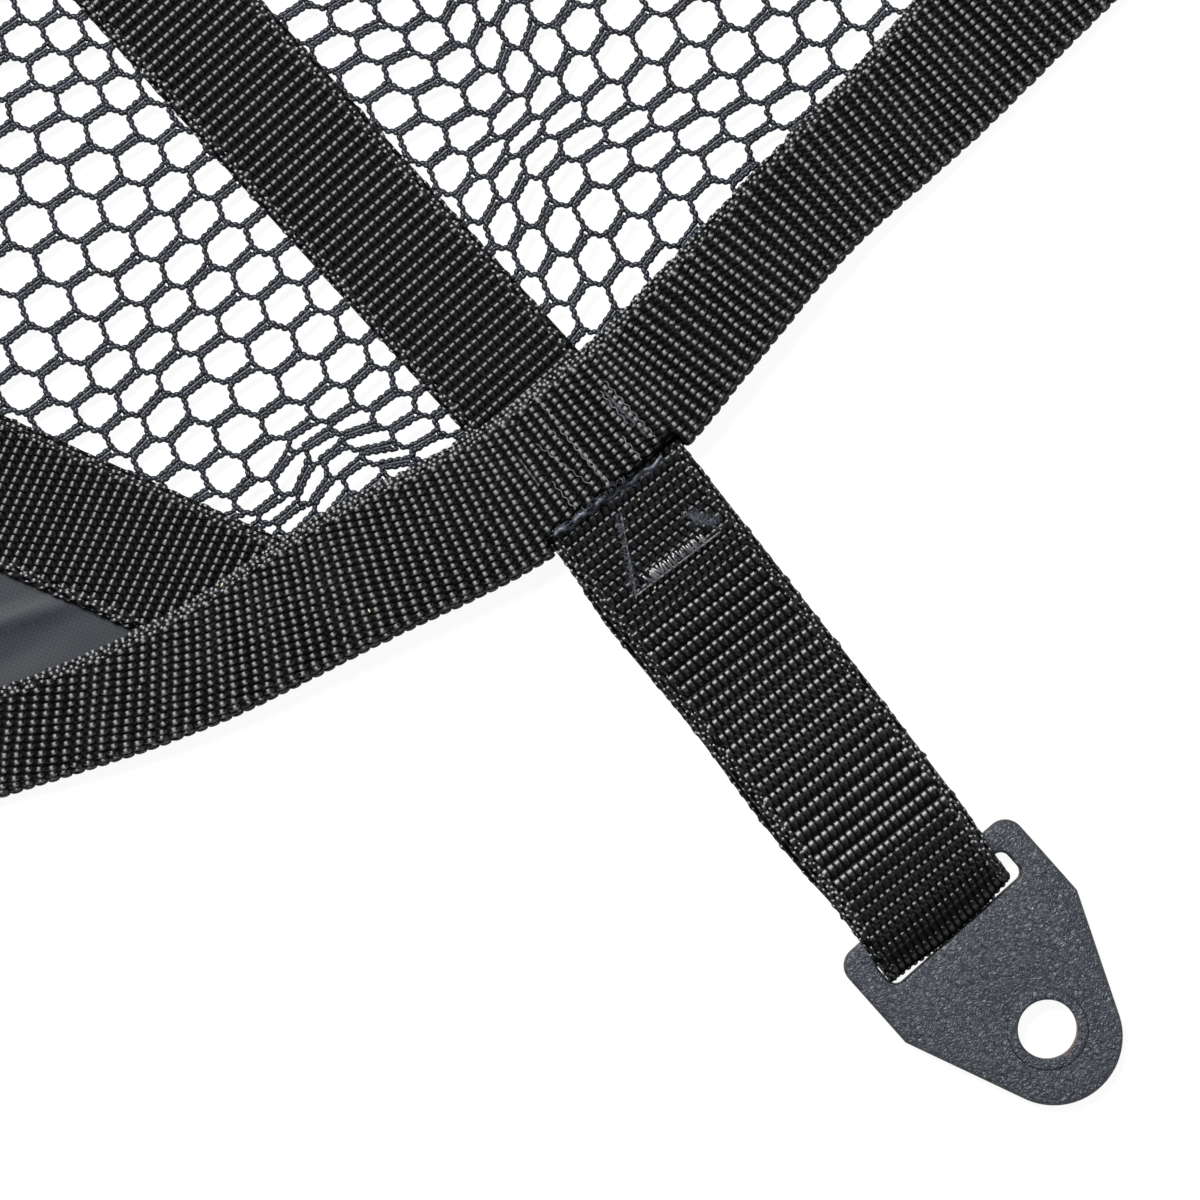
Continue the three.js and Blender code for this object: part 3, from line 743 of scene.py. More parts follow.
# Corner cloth
# A piece of plain-woven polyester cloth that closes the lower front corner. It is cut
# to the binding's edge, sewn to the net under the second band and lies in soft folds.
CORNER_CLOTH = {"thick": 0.45, "lift": 0.35, "grid": 3.5, "fine_grid": 1.2, "thread": 0.44, "inset": 4.2,
                "flat": (0.29, 0.22), "area": 0.0308}
# Folds of the cloth: from, to, height and half width; minus is a trough
CLOTH_FOLDS = [
    ((-99, 20.5), (-78, 18.2), 0.42, 1.3), ((-104, 13.8), (-84, 15.0), -0.25, 2.4),
    ((-150, 30), (-112, 52), 0.45, 5.0), ((-215, 38), (-160, 92), -0.4, 7.5),
    ((-300, 60), (-235, 55), 0.5, 6.0), ((-290, 110), (-245, 160), 0.4, 5.5),
    ((-200, 20), (-170, 34), 0.35, 4.0),
]


def fold_height(xy):
    """Height of the cloth's folds at plan points."""
    total = np.zeros(len(xy))
    for start, end, height, half in CLOTH_FOLDS:
        start, end = np.array(start, float), np.array(end, float)
        line = end - start
        share = np.clip((xy - start) @ line / (line @ line), -0.3, 1.3)
        away = np.linalg.norm(xy - start - share[:, None] * line, axis=1)
        total += height * np.exp(-(away / half) ** 2) * np.sin(np.pi * np.clip(share, 0, 1)) ** 0.6
    return total


def colour_mix(nodes, blend, values):
    """A mix of two colours, with constants on its named sockets."""
    made = nodes.new("ShaderNodeMix")
    made.data_type, made.blend_type = "RGBA", blend
    return set_sockets(made, values)


def math_of(nodes, operation, first, second=None):
    """The result of a sum on numbers or on other nodes' results."""
    step = nodes.new("ShaderNodeMath")
    step.operation = operation
    for socket, value in zip(step.inputs, (first, second)):
        if isinstance(value, (int, float)):
            socket.default_value = value
        elif value is not None:
            step.id_data.links.new(value, socket)
    return step.outputs[0]


def cloth_material():
    """Plain weave, one thread over and one under, with a slub here and there."""
    made, nodes, links, shader = new_finish("slate_cloth")
    place = nodes.new("ShaderNodeTexCoord").outputs["Object"]
    weave = set_sockets(nodes.new("ShaderNodeTexChecker"), {
        "Scale": 1 / (CORNER_CLOTH["thread"] * MM),
        "Color1": (0.004, 0.006, 0.010, 1), "Color2": (0.012, 0.016, 0.025, 1)})
    slub, patch = noise(nodes, place, 900, 4), noise(nodes, place, 70)
    tones = two_tones(nodes, 0.3, 0.7, (0.62, 0.64, 0.68), (1.15, 1.12, 1.1))
    mix = colour_mix(nodes, "MULTIPLY", {"Factor": 1.0})
    both = math_of(nodes, "ADD", slub.outputs["Fac"], patch.outputs["Fac"])
    links.new(place, weave.inputs["Vector"])
    links.new(math_of(nodes, "MULTIPLY", both, 0.5), tones.inputs[0])
    links.new(weave.outputs["Color"], mix.inputs["A"])
    links.new(tones.outputs["Color"], mix.inputs["B"])
    links.new(mix.outputs["Result"], shader.inputs["Base Color"])
    links.new(bump_of(nodes, weave.outputs["Fac"], 0.6, 0.00012), shader.inputs["Normal"])
    set_sockets(shader, {"Roughness": 0.62, "Sheen Weight": 0.04, "Sheen Roughness": 0.4})
    return made


def turn_outwards(mesh):
    """Turns the faces of a closed mesh outwards and shades it smooth."""
    shaper = bmesh.new()
    shaper.from_mesh(mesh)
    bmesh.ops.recalc_face_normals(shaper, faces=shaper.faces)
    shaper.to_mesh(mesh)
    shaper.free()
    mesh.shade_smooth()


# Its border runs along the binding's edge and back along the seam with the net
way = np.arange(0, edge_length, CORNER_CLOTH["grid"])
rim = from_edge(way, CORNER_CLOTH["inset"])
beyond = across_band(rim, SECOND_BAND)[1] > 0.2
first = np.argmax(beyond & ~np.roll(beyond, 1))
rim = np.roll(rim, -first, axis=0)[: beyond.sum()]
seam = rim[-1] + (rim[0] - rim[-1]) * np.linspace(0, 1, 80)[1:-1, None]
border = np.vstack([rim, seam])
xs = np.arange(border[:, 0].min(), border[:, 0].max(), CORNER_CLOTH["grid"])
ys = np.arange(border[:, 1].min(), border[:, 1].max(), CORNER_CLOTH["grid"])
near_xs = np.arange(-106, -70, CORNER_CLOTH["fine_grid"])
near_ys = np.arange(6, 32, CORNER_CLOTH["fine_grid"])
field = np.vstack([np.stack(np.meshgrid(*pair), -1).reshape(-1, 2)
                   for pair in ((xs, ys), (near_xs, near_ys))])
field = field[inside_edge(field) & (to_edge(field)[0] > CORNER_CLOTH["inset"] + 1.5)
              & (across_band(field, SECOND_BAND)[1] > 1.6)]
spread = np.vstack([border, field])
loop = [(i, (i + 1) % len(border)) for i in range(len(border))]
flat_points, _, flat_faces, *_ = delaunay_2d_cdt([Vector(p) for p in spread], loop, [], 1, 0.01)
flat_points = np.array([list(p) for p in flat_points])
heights = CLOTH_Z + CORNER_CLOTH["lift"] + cloth_rise(flat_points) + fold_height(flat_points)
top = np.column_stack([flat_points, heights + CORNER_CLOTH["thick"]])
under = np.column_stack([flat_points, heights])
count = len(top)
faces = [list(f) for f in flat_faces]
turned = [[i + count for i in reversed(f)] for f in faces]
steps = {(i, j): True for f in faces for i, j in zip(f, f[1:] + f[:1])}
walls = [[j, i, i + count, j + count] for i, j in steps if (j, i) not in steps]
cloth_mesh = bpy.data.meshes.new("corner_cloth_sheet")
cloth_mesh.from_pydata(to_frame(np.vstack([top, under])).tolist(), [], faces + turned + walls)
turn_outwards(cloth_mesh)
cloth_mesh.materials.append(cloth_material())
corner = join_meshes("corner_sheet", [cloth_mesh])
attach(corner, "root")
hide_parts("corner_cloth")

# Bands
# Two narrow black polyester webbings sewn on the net: one up the middle, one over the
# seam of net and corner cloth. Their ends are caught under the binding's upper leg.
BAND_WEAVE = {"thick": 0.80, "lift": 0.06, "rim": 0.34, "edge": 1.7, "station": 3.0}
# Pitch across, rows along, and the length, width and height of a stitch
BANDS = [
    {"name": "middle_band", "run": MIDDLE_BAND, "pitch": 1.13, "row": 1.82, "float": (1.72, 1.02, 0.60)},
    {"name": "second_band", "run": SECOND_BAND, "pitch": 1.17, "row": 1.64, "float": (1.60, 1.04, 0.56)},
]
# Rows of small stitches on a webbing's edge: how far in, size, step and swing
EDGE_ROWS = [(1.5, (1.7, 0.62, 0.55), 1.15, 0.3), (0.85, (1.6, 0.66, 0.6), 1.1, 0.42),
             (0.28, (1.75, 0.72, 0.72), 1.2, 0.26)]
# The ground of every webbing: its yarn's dark tone, and the painted highlight on the crests of its weave;
# a third of the dark is the painted shade between stitches
GROUND = (0.0016, 0.0016, 0.0019), (0.005, 0.0052, 0.006)


def sweep_mesh(name, rings, marks, material):
    """A closed strip through rings of points; marks are its weave coordinates."""
    stations, size, _ = rings.shape
    mesh = bpy.data.meshes.new(name)
    faces, corners = [], []
    for i in range(stations - 1):
        for k in range(size):
            m = (k + 1) % size
            faces.append([i * size + k, i * size + m, (i + 1) * size + m, (i + 1) * size + k])
            corners.append([(i, k), (i, k + 1), (i + 1, k + 1), (i + 1, k)])
    for i in (0, stations - 1):
        faces.append([i * size + k for k in range(size)])
        corners.append([(i, k) for k in range(size)])
    mesh.from_pydata(to_frame(rings.reshape(-1, 3)).tolist(), [], faces)
    layer = mesh.uv_layers.new(name="weave")
    flat = np.array([marks[i, k] for face in corners for i, k in face], np.float32)
    layer.data.foreach_set("uv", flat.ravel())
    turn_outwards(mesh)
    mesh.materials.append(material)
    return mesh


def webbing_material(name, pitch, row, rough):
    """Ribbed webbing: each row of long stitches is set half a stitch off the last. Its colour holds
    painted light: a painted highlight on the crests and painted shade in the gaps between stitches.
    """
    made, nodes, links, shader = new_finish(name)
    dark, light = GROUND

    def hump(way):
        """A rounded rise over each whole step of a way."""
        swing = math_of(nodes, "SUBTRACT", math_of(
            nodes, "MULTIPLY", math_of(nodes, "FRACT", way), 2.0), 1.0)
        return math_of(nodes, "SUBTRACT", 1.0, math_of(nodes, "MULTIPLY", swing, swing))

    marks = nodes.new("ShaderNodeUVMap")
    marks.uv_map = "weave"
    parts = nodes.new("ShaderNodeSeparateXYZ")
    links.new(marks.outputs[0], parts.inputs[0])
    down = math_of(nodes, "DIVIDE", parts.outputs["Y"], row)
    second_row = math_of(nodes, "PINGPONG", math_of(nodes, "FLOOR", down), 1.0)
    shift = math_of(nodes, "MULTIPLY", second_row, 0.5)
    over = math_of(nodes, "ADD", math_of(nodes, "DIVIDE", parts.outputs["X"], pitch), shift)
    height = math_of(nodes, "MULTIPLY", hump(over), hump(down))
    place = nodes.new("ShaderNodeTexCoord").outputs["Object"]
    fibre, cloud = noise(nodes, place, 3500), noise(nodes, place, 60)
    # Painted light in the colour: the weave's relief lifts the crests to the light tone, a painted
    # highlight, and sinks the gaps to a third of the dark, painted shade; the cloud only adds random tone
    tones = two_tones(nodes, 0.05, 0.95, tuple(c * 0.35 for c in dark), light)
    tones.color_ramp.elements.new(0.5).color = (*dark, 1)
    tone = math_of(nodes, "ADD", math_of(nodes, "MULTIPLY", height, 0.75),
                   math_of(nodes, "MULTIPLY", cloud.outputs["Fac"], 0.3))
    links.new(tone, tones.inputs[0])
    links.new(tones.outputs[0], shader.inputs["Base Color"])
    relief = math_of(nodes, "ADD", height, math_of(nodes, "MULTIPLY", fibre.outputs["Fac"], 0.08))
    links.new(bump_of(nodes, relief, 1.0, 0.0003), shader.inputs["Normal"])
    set_sockets(shader, {"Roughness": rough, "Specular IOR Level": 0.05})
    return made


def read_mark(nodes, title):
    """A node that reads what is marked on each point, for a shader."""
    made = nodes.new("ShaderNodeAttribute")
    made.attribute_name = title
    return made


def float_material(name, dark, light, rough, shine):
    """Filament yarn of the webbing's stitches, with a gloss along each stitch."""
    made = yarn_material(name, dark, light, rough, 7000, shine)
    nodes, links = made.node_tree.nodes, made.node_tree.links
    shader = nodes["Principled BSDF"]
    ramp = next(n for n in nodes if n.type == "VALTORGB")
    mix = colour_mix(nodes, "MULTIPLY", {"Factor": 1.0})
    links.new(ramp.outputs[0], mix.inputs["A"])
    links.new(read_mark(nodes, "tone").outputs["Color"], mix.inputs["B"])
    links.new(mix.outputs["Result"], shader.inputs["Base Color"])
    links.new(read_mark(nodes, "heading").outputs["Vector"], shader.inputs["Tangent"])
    set_sockets(shader, {"Anisotropic": 1.0, "Anisotropic Rotation": 0.25, "IOR": 1.65})
    return made


def band_section(width, thick, rim):
    """Ring of (across, up) round a flat strip with rounded edges, top first."""
    half = width / 2
    across = np.linspace(-half + rim, half - rim, 9)
    turn = np.linspace(math.pi / 2, -math.pi / 2, 5)[1:-1]
    right = [(half - rim + rim * math.cos(a), thick / 2 + thick / 2 * math.sin(a)) for a in turn]
    top = [(u, thick) for u in across]
    low = [(u, 0.0) for u in across[::-1]]
    left = [(-u, h) for u, h in reversed(right)]
    return np.array(top + right + low + left)


def frame_on(surface, across, along):
    """Points of a surface that show, with the ways along it, across it and out of it."""
    points = surface(across, along)
    ahead = unit(surface(across, along + 0.4) - surface(across, along - 0.4))
    aside = unit(surface(across + 0.2, along) - surface(across - 0.2, along))
    normal = unit(np.cross(ahead, aside))
    keep = in_close_up(points[:, :2])
    return points[keep], ahead[keep], aside[keep], normal[keep]


def place_floats(surface, across, along, sink, lean, jitter, seed):
    """Points, headings, ups, sizes and tones of long stitches on a surface."""
    points, ahead, aside, normal = frame_on(surface, across, along)
    dice = np.random.default_rng(seed)
    count = len(points)
    yaw = dice.normal(0, jitter, count)
    heading = ahead * np.cos(yaw)[:, None] + aside * np.sin(yaw)[:, None] + normal * lean
    points = points + normal * (dice.normal(0, 0.02, count) - sink)[:, None]
    return points, heading, normal, dice.uniform(0.93, 1.06, count), dice.uniform(0.6, 1.5, count)


def checker(width, pitch, lines, edge):
    """Places of the stitches on a webbing: every second row is half a stitch over."""
    across, along = [], []
    for number, at in enumerate(lines):
        spots = np.arange(-width / 2 + edge + (number % 2) * pitch / 2, width / 2 - edge, pitch)
        across.append(spots + (width / 2 - edge - spots[-1] - (0 if number % 2 else pitch / 2)) / 2)
        along.append(np.full(len(spots), at))
    return np.concatenate(across), np.concatenate(along)


def edge_stitches(name, surface, edge_at, outwards, run, material, seed, drop=0.1):
    """Small crowded stitches on a webbing's woven edge, and the loops that stand out."""
    dice = np.random.default_rng(seed)
    sets = []
    for inset, size, step, swing in EDGE_ROWS:
        along = np.arange(run[0], run[1], step)
        along = along + dice.normal(0, 0.10, len(along))
        across = (edge_at - outwards * inset) * np.ones(len(along)) + dice.normal(0, 0.07, len(along))
        points, ahead, aside, normal = frame_on(surface, across, along)
        count = len(points)
        if not count:
            continue
        yaw = np.where(np.arange(count) % 2, swing, -swing * 0.5) + dice.normal(0, 0.12, count)
        heading = ahead * np.cos(yaw)[:, None] + aside * np.sin(yaw)[:, None]
        points = points - normal * (drop + (0.22 if inset < 0.5 else 0)) \
            + normal * dice.normal(0, 0.05, count)[:, None]
        sets.append(lay_stitches(name, points, heading, normal, dice.uniform(0.85, 1.15, count), size,
                                 material, sides=6, rings=4, tone=dice.uniform(0.8, 2.2, count)))
    return sets


def band_surface(band, lift):
    """Top of a band: plan points at a way along it and sideways to the left."""
    start, end = np.array(band["from"]), np.array(band["to"])
    ahead = unit(end - start)
    left = np.array([-ahead[1], ahead[0]])

    def surface(across, along):
        xy = start + np.outer(along, ahead) + np.outer(across, left)
        return np.column_stack([xy, BAND_Z + lift + cloth_rise(xy)])
    return surface, np.linalg.norm(end - start)


band_yarn = float_material("band_yarn", (0.0009, 0.0009, 0.0011), (0.003, 0.0031, 0.0036), 0.44, 0.62)
edge_yarn = float_material("edge_yarn", (0.0018, 0.0019, 0.0022), (0.007, 0.0074, 0.0085), 0.46, 0.8)
for band in BANDS:
    name, run, width = band["name"], band["run"], band["run"]["width"]
    under = band_surface(run, BAND_WEAVE["lift"])[0]
    surface, length = band_surface(run, BAND_WEAVE["thick"] + BAND_WEAVE["lift"])
    section = band_section(width, BAND_WEAVE["thick"], BAND_WEAVE["rim"])
    stations = np.append(np.arange(0, length, BAND_WEAVE["station"]), length)
    rings = np.array([under(section[:, 0], np.full(len(section), s)) for s in stations])
    rings[:, :, 2] += section[:, 1]
    marks = np.zeros((len(stations), len(section) + 1, 2))
    marks[:, :, 0] = np.append(section[:, 0], section[0, 0])
    marks[:, :, 1] = stations[:, None]
    weave = webbing_material(name + "_weave", band["pitch"], band["row"], 0.5)
    ground = join_meshes(name + "_webbing", [sweep_mesh(name, rings, marks, weave)])
    rows_at = np.arange(band["row"] / 2, length, band["row"])
    across, along = checker(width, band["pitch"], rows_at, BAND_WEAVE["edge"])
    points, heading, normal, grow, tone = place_floats(
        surface, across, along, sink=0.0, lean=-0.12, jitter=0.05, seed=21)
    made = [lay_stitches(name, points, heading, normal, grow, band["float"], band_yarn, tone=tone)]
    for edge_at, outwards in ((width / 2, 1), (-width / 2, -1)):
        made += edge_stitches(name, surface, edge_at, outwards, (0, length), edge_yarn, 31 + outwards)
    floats = join_meshes(name + "_stitches", made)
    for piece in (ground, floats):
        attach(piece, "root")
    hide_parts(name)

# Binding
# One 40 mm black polyester webbing folded lengthwise over the edge of net and cloth and
# sewn through. It bends round the corner in one piece, and is slit where a strap leaves.
BINDING = {"flat": 40.0, "fold": 4.1, "fold_turn": 1.9, "thick": 0.68, "pitch": 1.10, "row": 1.98,
           "low": 0.02, "rim": 0.3, "float": (1.92, 0.96, 0.72)}
FOLD_DEPTH, SLIT_DEPTH = 1.6, 2.4
BINDING_TOP = BAND_Z + BINDING["thick"] + BINDING["low"]
# Half the gap between the strip's ends, and the rise where the second band goes under
JOINT_AT, CROSSING_RISE = 0.2, (26, 50)
# How far rows lean from square at most, and where along the lower border they start and
# stop to do so: from the corner outwards, up to the front, and below a height
ROW_SLANT = {"most": 0.44, "from": (18, 75), "until": (260, 320), "below": (-60, -20)}
# Way between stations of the strip: in the close-up, near a rise and elsewhere
STATION = {"close_up": 2.0, "rise": 4.5, "plain": 8.0, "near_rise": 90}
# Its stitches are made this far to each side of the corner, from this far within the
# inner edge to this far round the fold
BINDING_REACH, ROW_FROM, ROW_TO = 190, 1.9, -3.4
# The visual slit is this much shorter than the one in the solid, and its stitches
# keep this much clear of it
SLIT_SHORT, SLIT_CLEAR = 2.2, 0.9
crossing_way = to_edge(np.array(CROSSINGS, float))[1]


def binding_rise(along, xy):
    """How far the upper leg is lifted over straps and the second band."""
    away = np.min([np.abs(np.asarray(along) % edge_length - w) for w in crossing_way], axis=0)
    crossing = LAYER_RISE * (1 - ease(away, *CROSSING_RISE))
    over = anchor_rise(xy)
    return over + np.maximum(over, crossing)


def row_slant(along):
    """How far the rows of stitches lean from square, left of the corner."""
    x, y = (np.interp(np.asarray(along) % edge_length, edge_way, edge_loop[:, k]) for k in (0, 1))
    started, stopped = ease(-x, *ROW_SLANT["from"]), ease(-x, *ROW_SLANT["until"])
    return ROW_SLANT["most"] * started * ease(-y, *ROW_SLANT["below"]) * (1 - stopped)


def binding_surface(across, along):
    """Outer face of the fold: inwards on top, and round the edge where negative."""
    across, along = np.asarray(across, float), np.asarray(along, float)
    start = FOLD_DEPTH - AIR
    inwards = np.maximum(across, start)
    shifted = along + row_slant(along) * inwards
    xy = from_edge(shifted, inwards)
    top = BINDING_TOP + binding_rise(shifted, xy)
    turn = np.clip((start - across) / BINDING["fold_turn"], 0, math.pi)
    inwards = np.where(across < start, start - start * np.sin(turn), inwards)
    xy = from_edge(shifted, inwards)
    height = np.where(across < start, top / 2 + top / 2 * np.cos(turn), top)
    return np.column_stack([xy, height])


def binding_ring(along, leg, lower):
    """Ring of the folded strip: outer face from inner edge to inner edge, and back."""
    start, thick, low, rim = FOLD_DEPTH - AIR, BINDING["thick"], BINDING["low"], BINDING["rim"]
    inner_start = start + 0.2
    turn = np.linspace(0, math.pi, 9)[1:-1]
    ring = [(u, "top", 0.0) for u in np.linspace(leg - rim, start, 8)]
    ring += [(start - start * math.sin(a), "fold", a) for a in turn]
    ring += [(u, "low", 0.0) for u in np.linspace(start, lower - rim, 7)]
    ring += [(u, "low_in", 0.0) for u in np.linspace(lower - rim, inner_start, 7)]
    ring += [(inner_start - (inner_start - thick) * math.sin(a), "fold_in", a) for a in turn[::-1]]
    ring += [(u, "top_in", 0.0) for u in np.linspace(inner_start, leg - rim, 8)]
    rows, marks = [], []
    for u, kind, a in ring:
        xy = from_edge(np.array([along]), u)[0]
        top = BINDING_TOP + binding_rise(np.array([along]), xy[None])[0]
        z = {"top": top, "low": low, "fold": top / 2 + (top / 2 - low) * math.cos(a),
             "low_in": thick, "top_in": top - thick,
             "fold_in": top / 2 + (top / 2 - thick) * math.cos(a)}[kind]
        rows.append((*xy, z))
        slant = row_slant(np.array([along]))[0]
        marks.append((u if kind.startswith("top") else -u - 4, along - slant * u))
    return rows, marks


# Stations lie close in the close-up and near every rise
busy = [to_edge(np.array([[a["x"], a["y"]]], float))[1][0] for a in ANCHORS] + list(crossing_way)
stations, at = [], JOINT_AT
while at < edge_length - 8:
    stations.append(at)
    away = min(abs((at - b + edge_length / 2) % edge_length - edge_length / 2) for b in busy)
    if in_close_up(from_edge(np.array([at]), 10))[0]:
        at += STATION["close_up"]
    else:
        at += STATION["rise" if away < STATION["near_rise"] else "plain"]
stations.append(edge_length - JOINT_AT)
rings, marks = [], []
for at in stations:
    leg = float(leg_at(at))
    rows, row_marks = binding_ring(at, leg, BINDING["flat"] - BINDING["fold"] - leg)
    rings.append(rows)
    marks.append(row_marks + [row_marks[0]])
binding_weave = webbing_material("binding_weave", BINDING["pitch"], BINDING["row"], 0.5)
binding = join_meshes("folded_binding", [
    sweep_mesh("folded_binding", np.array(rings), np.array(marks), binding_weave)])

# A slit for each strap: everything above the lower leg at the edge is cut away
slit_meshes = []
for anchor in ANCHORS:
    middle = to_edge(np.array([[anchor["x"], anchor["y"]]], float))[1][0]
    half = (anchor["slit"] - SLIT_SHORT) / 2
    ring_of = []
    for way in np.linspace(middle - half, middle + half, 7):
        near = from_edge(np.array([way]), -6)[0]
        far = from_edge(np.array([way]), SLIT_DEPTH)[0]
        ring_of.append([(*near, BINDING_THICK), (*far, BINDING_THICK), (*far, 20), (*near, 20)])
    slit_meshes.append(sweep_mesh("slit", np.array(ring_of), np.zeros((7, 5, 2)), binding_weave))
slits = join_meshes("slits", slit_meshes)
cut = binding.modifiers.new("slits", "BOOLEAN")
cut.operation, cut.object, cut.solver = "DIFFERENCE", slits, "EXACT"
depsgraph = bpy.context.evaluated_depsgraph_get()
finished = bpy.data.meshes.new_from_object(binding.evaluated_get(depsgraph))
binding.modifiers.clear()
binding.data = finished
bpy.data.objects.remove(slits)
binding.data.shade_smooth()

# Stitches of the close-up: long ones in slanting rows, small ones along the inner edge
corner_way = to_edge(np.array([[ANCHORS[0]["x"], ANCHORS[0]["y"]]]))[1][0]
binding_run = (corner_way - BINDING_REACH, corner_way + BINDING_REACH)


def clear_of_slit(across, along):
    """Whether stitches lie clear of the lower strap's slit."""
    gap = np.abs((along + row_slant(along) * np.maximum(across, 0)) - corner_way)
    return (gap >= ANCHORS[0]["slit"] / 2 - SLIT_CLEAR) | (across >= SLIT_DEPTH + SLIT_CLEAR)


def binding_rim(across, along):
    """Face of the upper leg, measured from its inner edge."""
    return binding_surface(leg_at(along + row_slant(along) * 20) + across, along)


across, along = [], []
for number, way in enumerate(np.arange(*binding_run, BINDING["row"])):
    leg = float(leg_at(way + row_slant(np.array([way]))[0] * 20))
    spots = np.arange(leg - ROW_FROM - (number % 2) * BINDING["pitch"] / 2, ROW_TO, -BINDING["pitch"])
    across.append(spots)
    along.append(np.full(len(spots), way))
across, along = np.concatenate(across), np.concatenate(along)
keep = clear_of_slit(across, along)
binding_yarn = float_material(
    "binding_yarn", (0.001, 0.001, 0.0012), (0.0035, 0.0036, 0.0042), 0.46, 0.62)
points, heading, normal, grow, tone = place_floats(
    binding_surface, across[keep], along[keep], sink=0.02, lean=0.03, jitter=0.15, seed=41)
float_piece = join_meshes("binding_stitches", [lay_stitches(
    "binding_stitches", points, heading, normal, grow, BINDING["float"], binding_yarn, tone=tone)])
rim_piece = join_meshes("binding_edge_stitches", edge_stitches(
    "binding_edge_stitches", binding_rim, 0.05, 1, binding_run, edge_yarn, 51))
for piece in (binding, float_piece, rim_piece):
    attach(piece, "root")
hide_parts("binding")

# Anchor straps
# 25 mm black polyester webbing, one at each corner, doubled through the tab's slot.
# Both ends go through the slit into the fold and are sewn there.
STRAP = {"wide": 25.0, "at_slot": 24.2, "thick": 0.80, "out": 0.28, "rim": 0.34, "pitch": 1.22,
         "row": 2.2, "edge": 1.8}
# The tab hangs from the strap's turn: distance of its slot, tilt, and its own ends
SLOT_AT, TAB_TILT, TAB_TOP, TAB_TIP, TAB_THICK = 79.6, math.radians(2.36), -28.7, 11.95, 2.5
OVER_BAR = (TAB_TIP - TAB_TOP) * math.sin(TAB_TILT) + TAB_THICK + AIR + 0.6
# The loop swells into the slot, and eases off towards each side
CROWN = {"wall": 1.62, "left": (0.80, 1.5, 10.5), "right": (0.60, 5.5, 11.5)}
CROWN_RUN = (75.5, 80.3)
# The lower layer has slipped sideways, and the loop sits to one side of the slot
SLIP, SLIP_RUN, SHIFT_RUN = 0.75, (2, 14), (66, 79)


def strap_path(tuck):
    """Middle line of the doubled strap seen from the side: way out, and up."""
    rows = [(-18, 1.9), (-8, 1.9), (1.5, 1.9), (9, .6), (30, .6), (55, .6), (73.5, .6), (78, .75),
            (79.9, 1.5), (80.3, (0.6 + OVER_BAR) / 2), (79.8, OVER_BAR - .9), (77.8, OVER_BAR - .1),
            (74.5, OVER_BAR + .05), (66.5, OVER_BAR - .5), (52, 3.5), (32, 3.2), (14, 4.2), (3, 4.7),
            (-tuck / 2, 4.7), (-tuck, 4.7)]
    line = smooth_line(rows, False, 8)
    return line, way_along(line)


def crown(across, turn):
    """How far the loop swells into the slot: all the way, but for a gap at each end."""
    wall = CROWN["wall"] - across * math.tan(math.radians(turn))
    (left, *left_run), (right, *right_run) = CROWN["left"], CROWN["right"]
    return wall - left * ease(-across, *left_run) - right * ease(across, *right_run)


def strap_surface(anchor, outwards):
    """A face of a strap's loop, with ways along it from the end tucked in below."""
    line, way = strap_path(anchor["tuck"])
    slope = unit(np.gradient(line, way, axis=0))
    turn = math.radians(anchor["angle"])
    out_way = np.array([math.cos(turn), math.sin(turn)])
    left_way = np.array([-math.sin(turn), math.cos(turn)])
    turn_at = way[np.argmax(line[:, 0])]

    def surface(across, along):
        across, along = np.asarray(across, float), np.asarray(along, float)
        out, up = (np.interp(along, way, line[:, k]) for k in (0, 1))
        run, climb = (np.interp(along, way, slope[:, k]) for k in (0, 1))
        size = np.hypot(run, climb)
        out, up = out + climb / size * outwards, up - run / size * outwards
        out = out + crown(across, anchor["turn"]) * ease(out, *CROWN_RUN)
        narrow = 1 - (1 - STRAP["at_slot"] / STRAP["wide"]) * ease(out, SLOT_AT / 2, SLOT_AT)
        below = 1 - ease(along, turn_at - 22, turn_at - 2)
        slip = -SLIP * below * ease(out, *SLIP_RUN) * (0.8 + 0.35 * np.sin(out / 7.0))
        side = across * narrow + slip - SLIP * ease(out, *SHIFT_RUN)
        xy = [anchor["x"], anchor["y"]] + np.outer(out, out_way) + np.outer(side, left_way)
        return np.column_stack([xy, np.maximum(up, 0.0)])
    return surface, way, line


def facing_out(surface):
    """The same face with its sides swapped, so that its stitches lie on the outside."""
    return lambda across, along: surface(-across, along)


strap_weave = webbing_material("strap_weave", STRAP["pitch"], STRAP["row"], 0.45)
strap_yarn = float_material("strap_yarn", (0.0009, 0.0009, 0.0011), (0.003, 0.0031, 0.0036), 0.44, 1.0)
# Stitches of the lower strap in three runs outwards: where, how big, how deep they lie,
# how they lean, and in which yarn. Near the fold and over the bar they are duller
STRAP_RUNS = [
    {"out": (-20, 17.5), "float": (1.58, 1.08, 0.50), "sink": -0.02, "lean": -0.03, "yarn": band_yarn},
    {"out": (17.5, 67), "float": (2.15, 0.96, 0.66), "sink": 0.0, "lean": -0.15, "yarn": strap_yarn},
    {"out": (67, 90), "float": (1.95, 0.98, 0.60), "sink": 0.0, "lean": 0.03, "yarn": band_yarn},
]


def strap_row(out):
    """Distance between rows: close at the fold, wide in the middle, less at the bar."""
    if out < 16:
        return 1.63
    return 2.0 if out > 65 else 2.33 - 0.5 * (1 - ease(out, 16, 22))


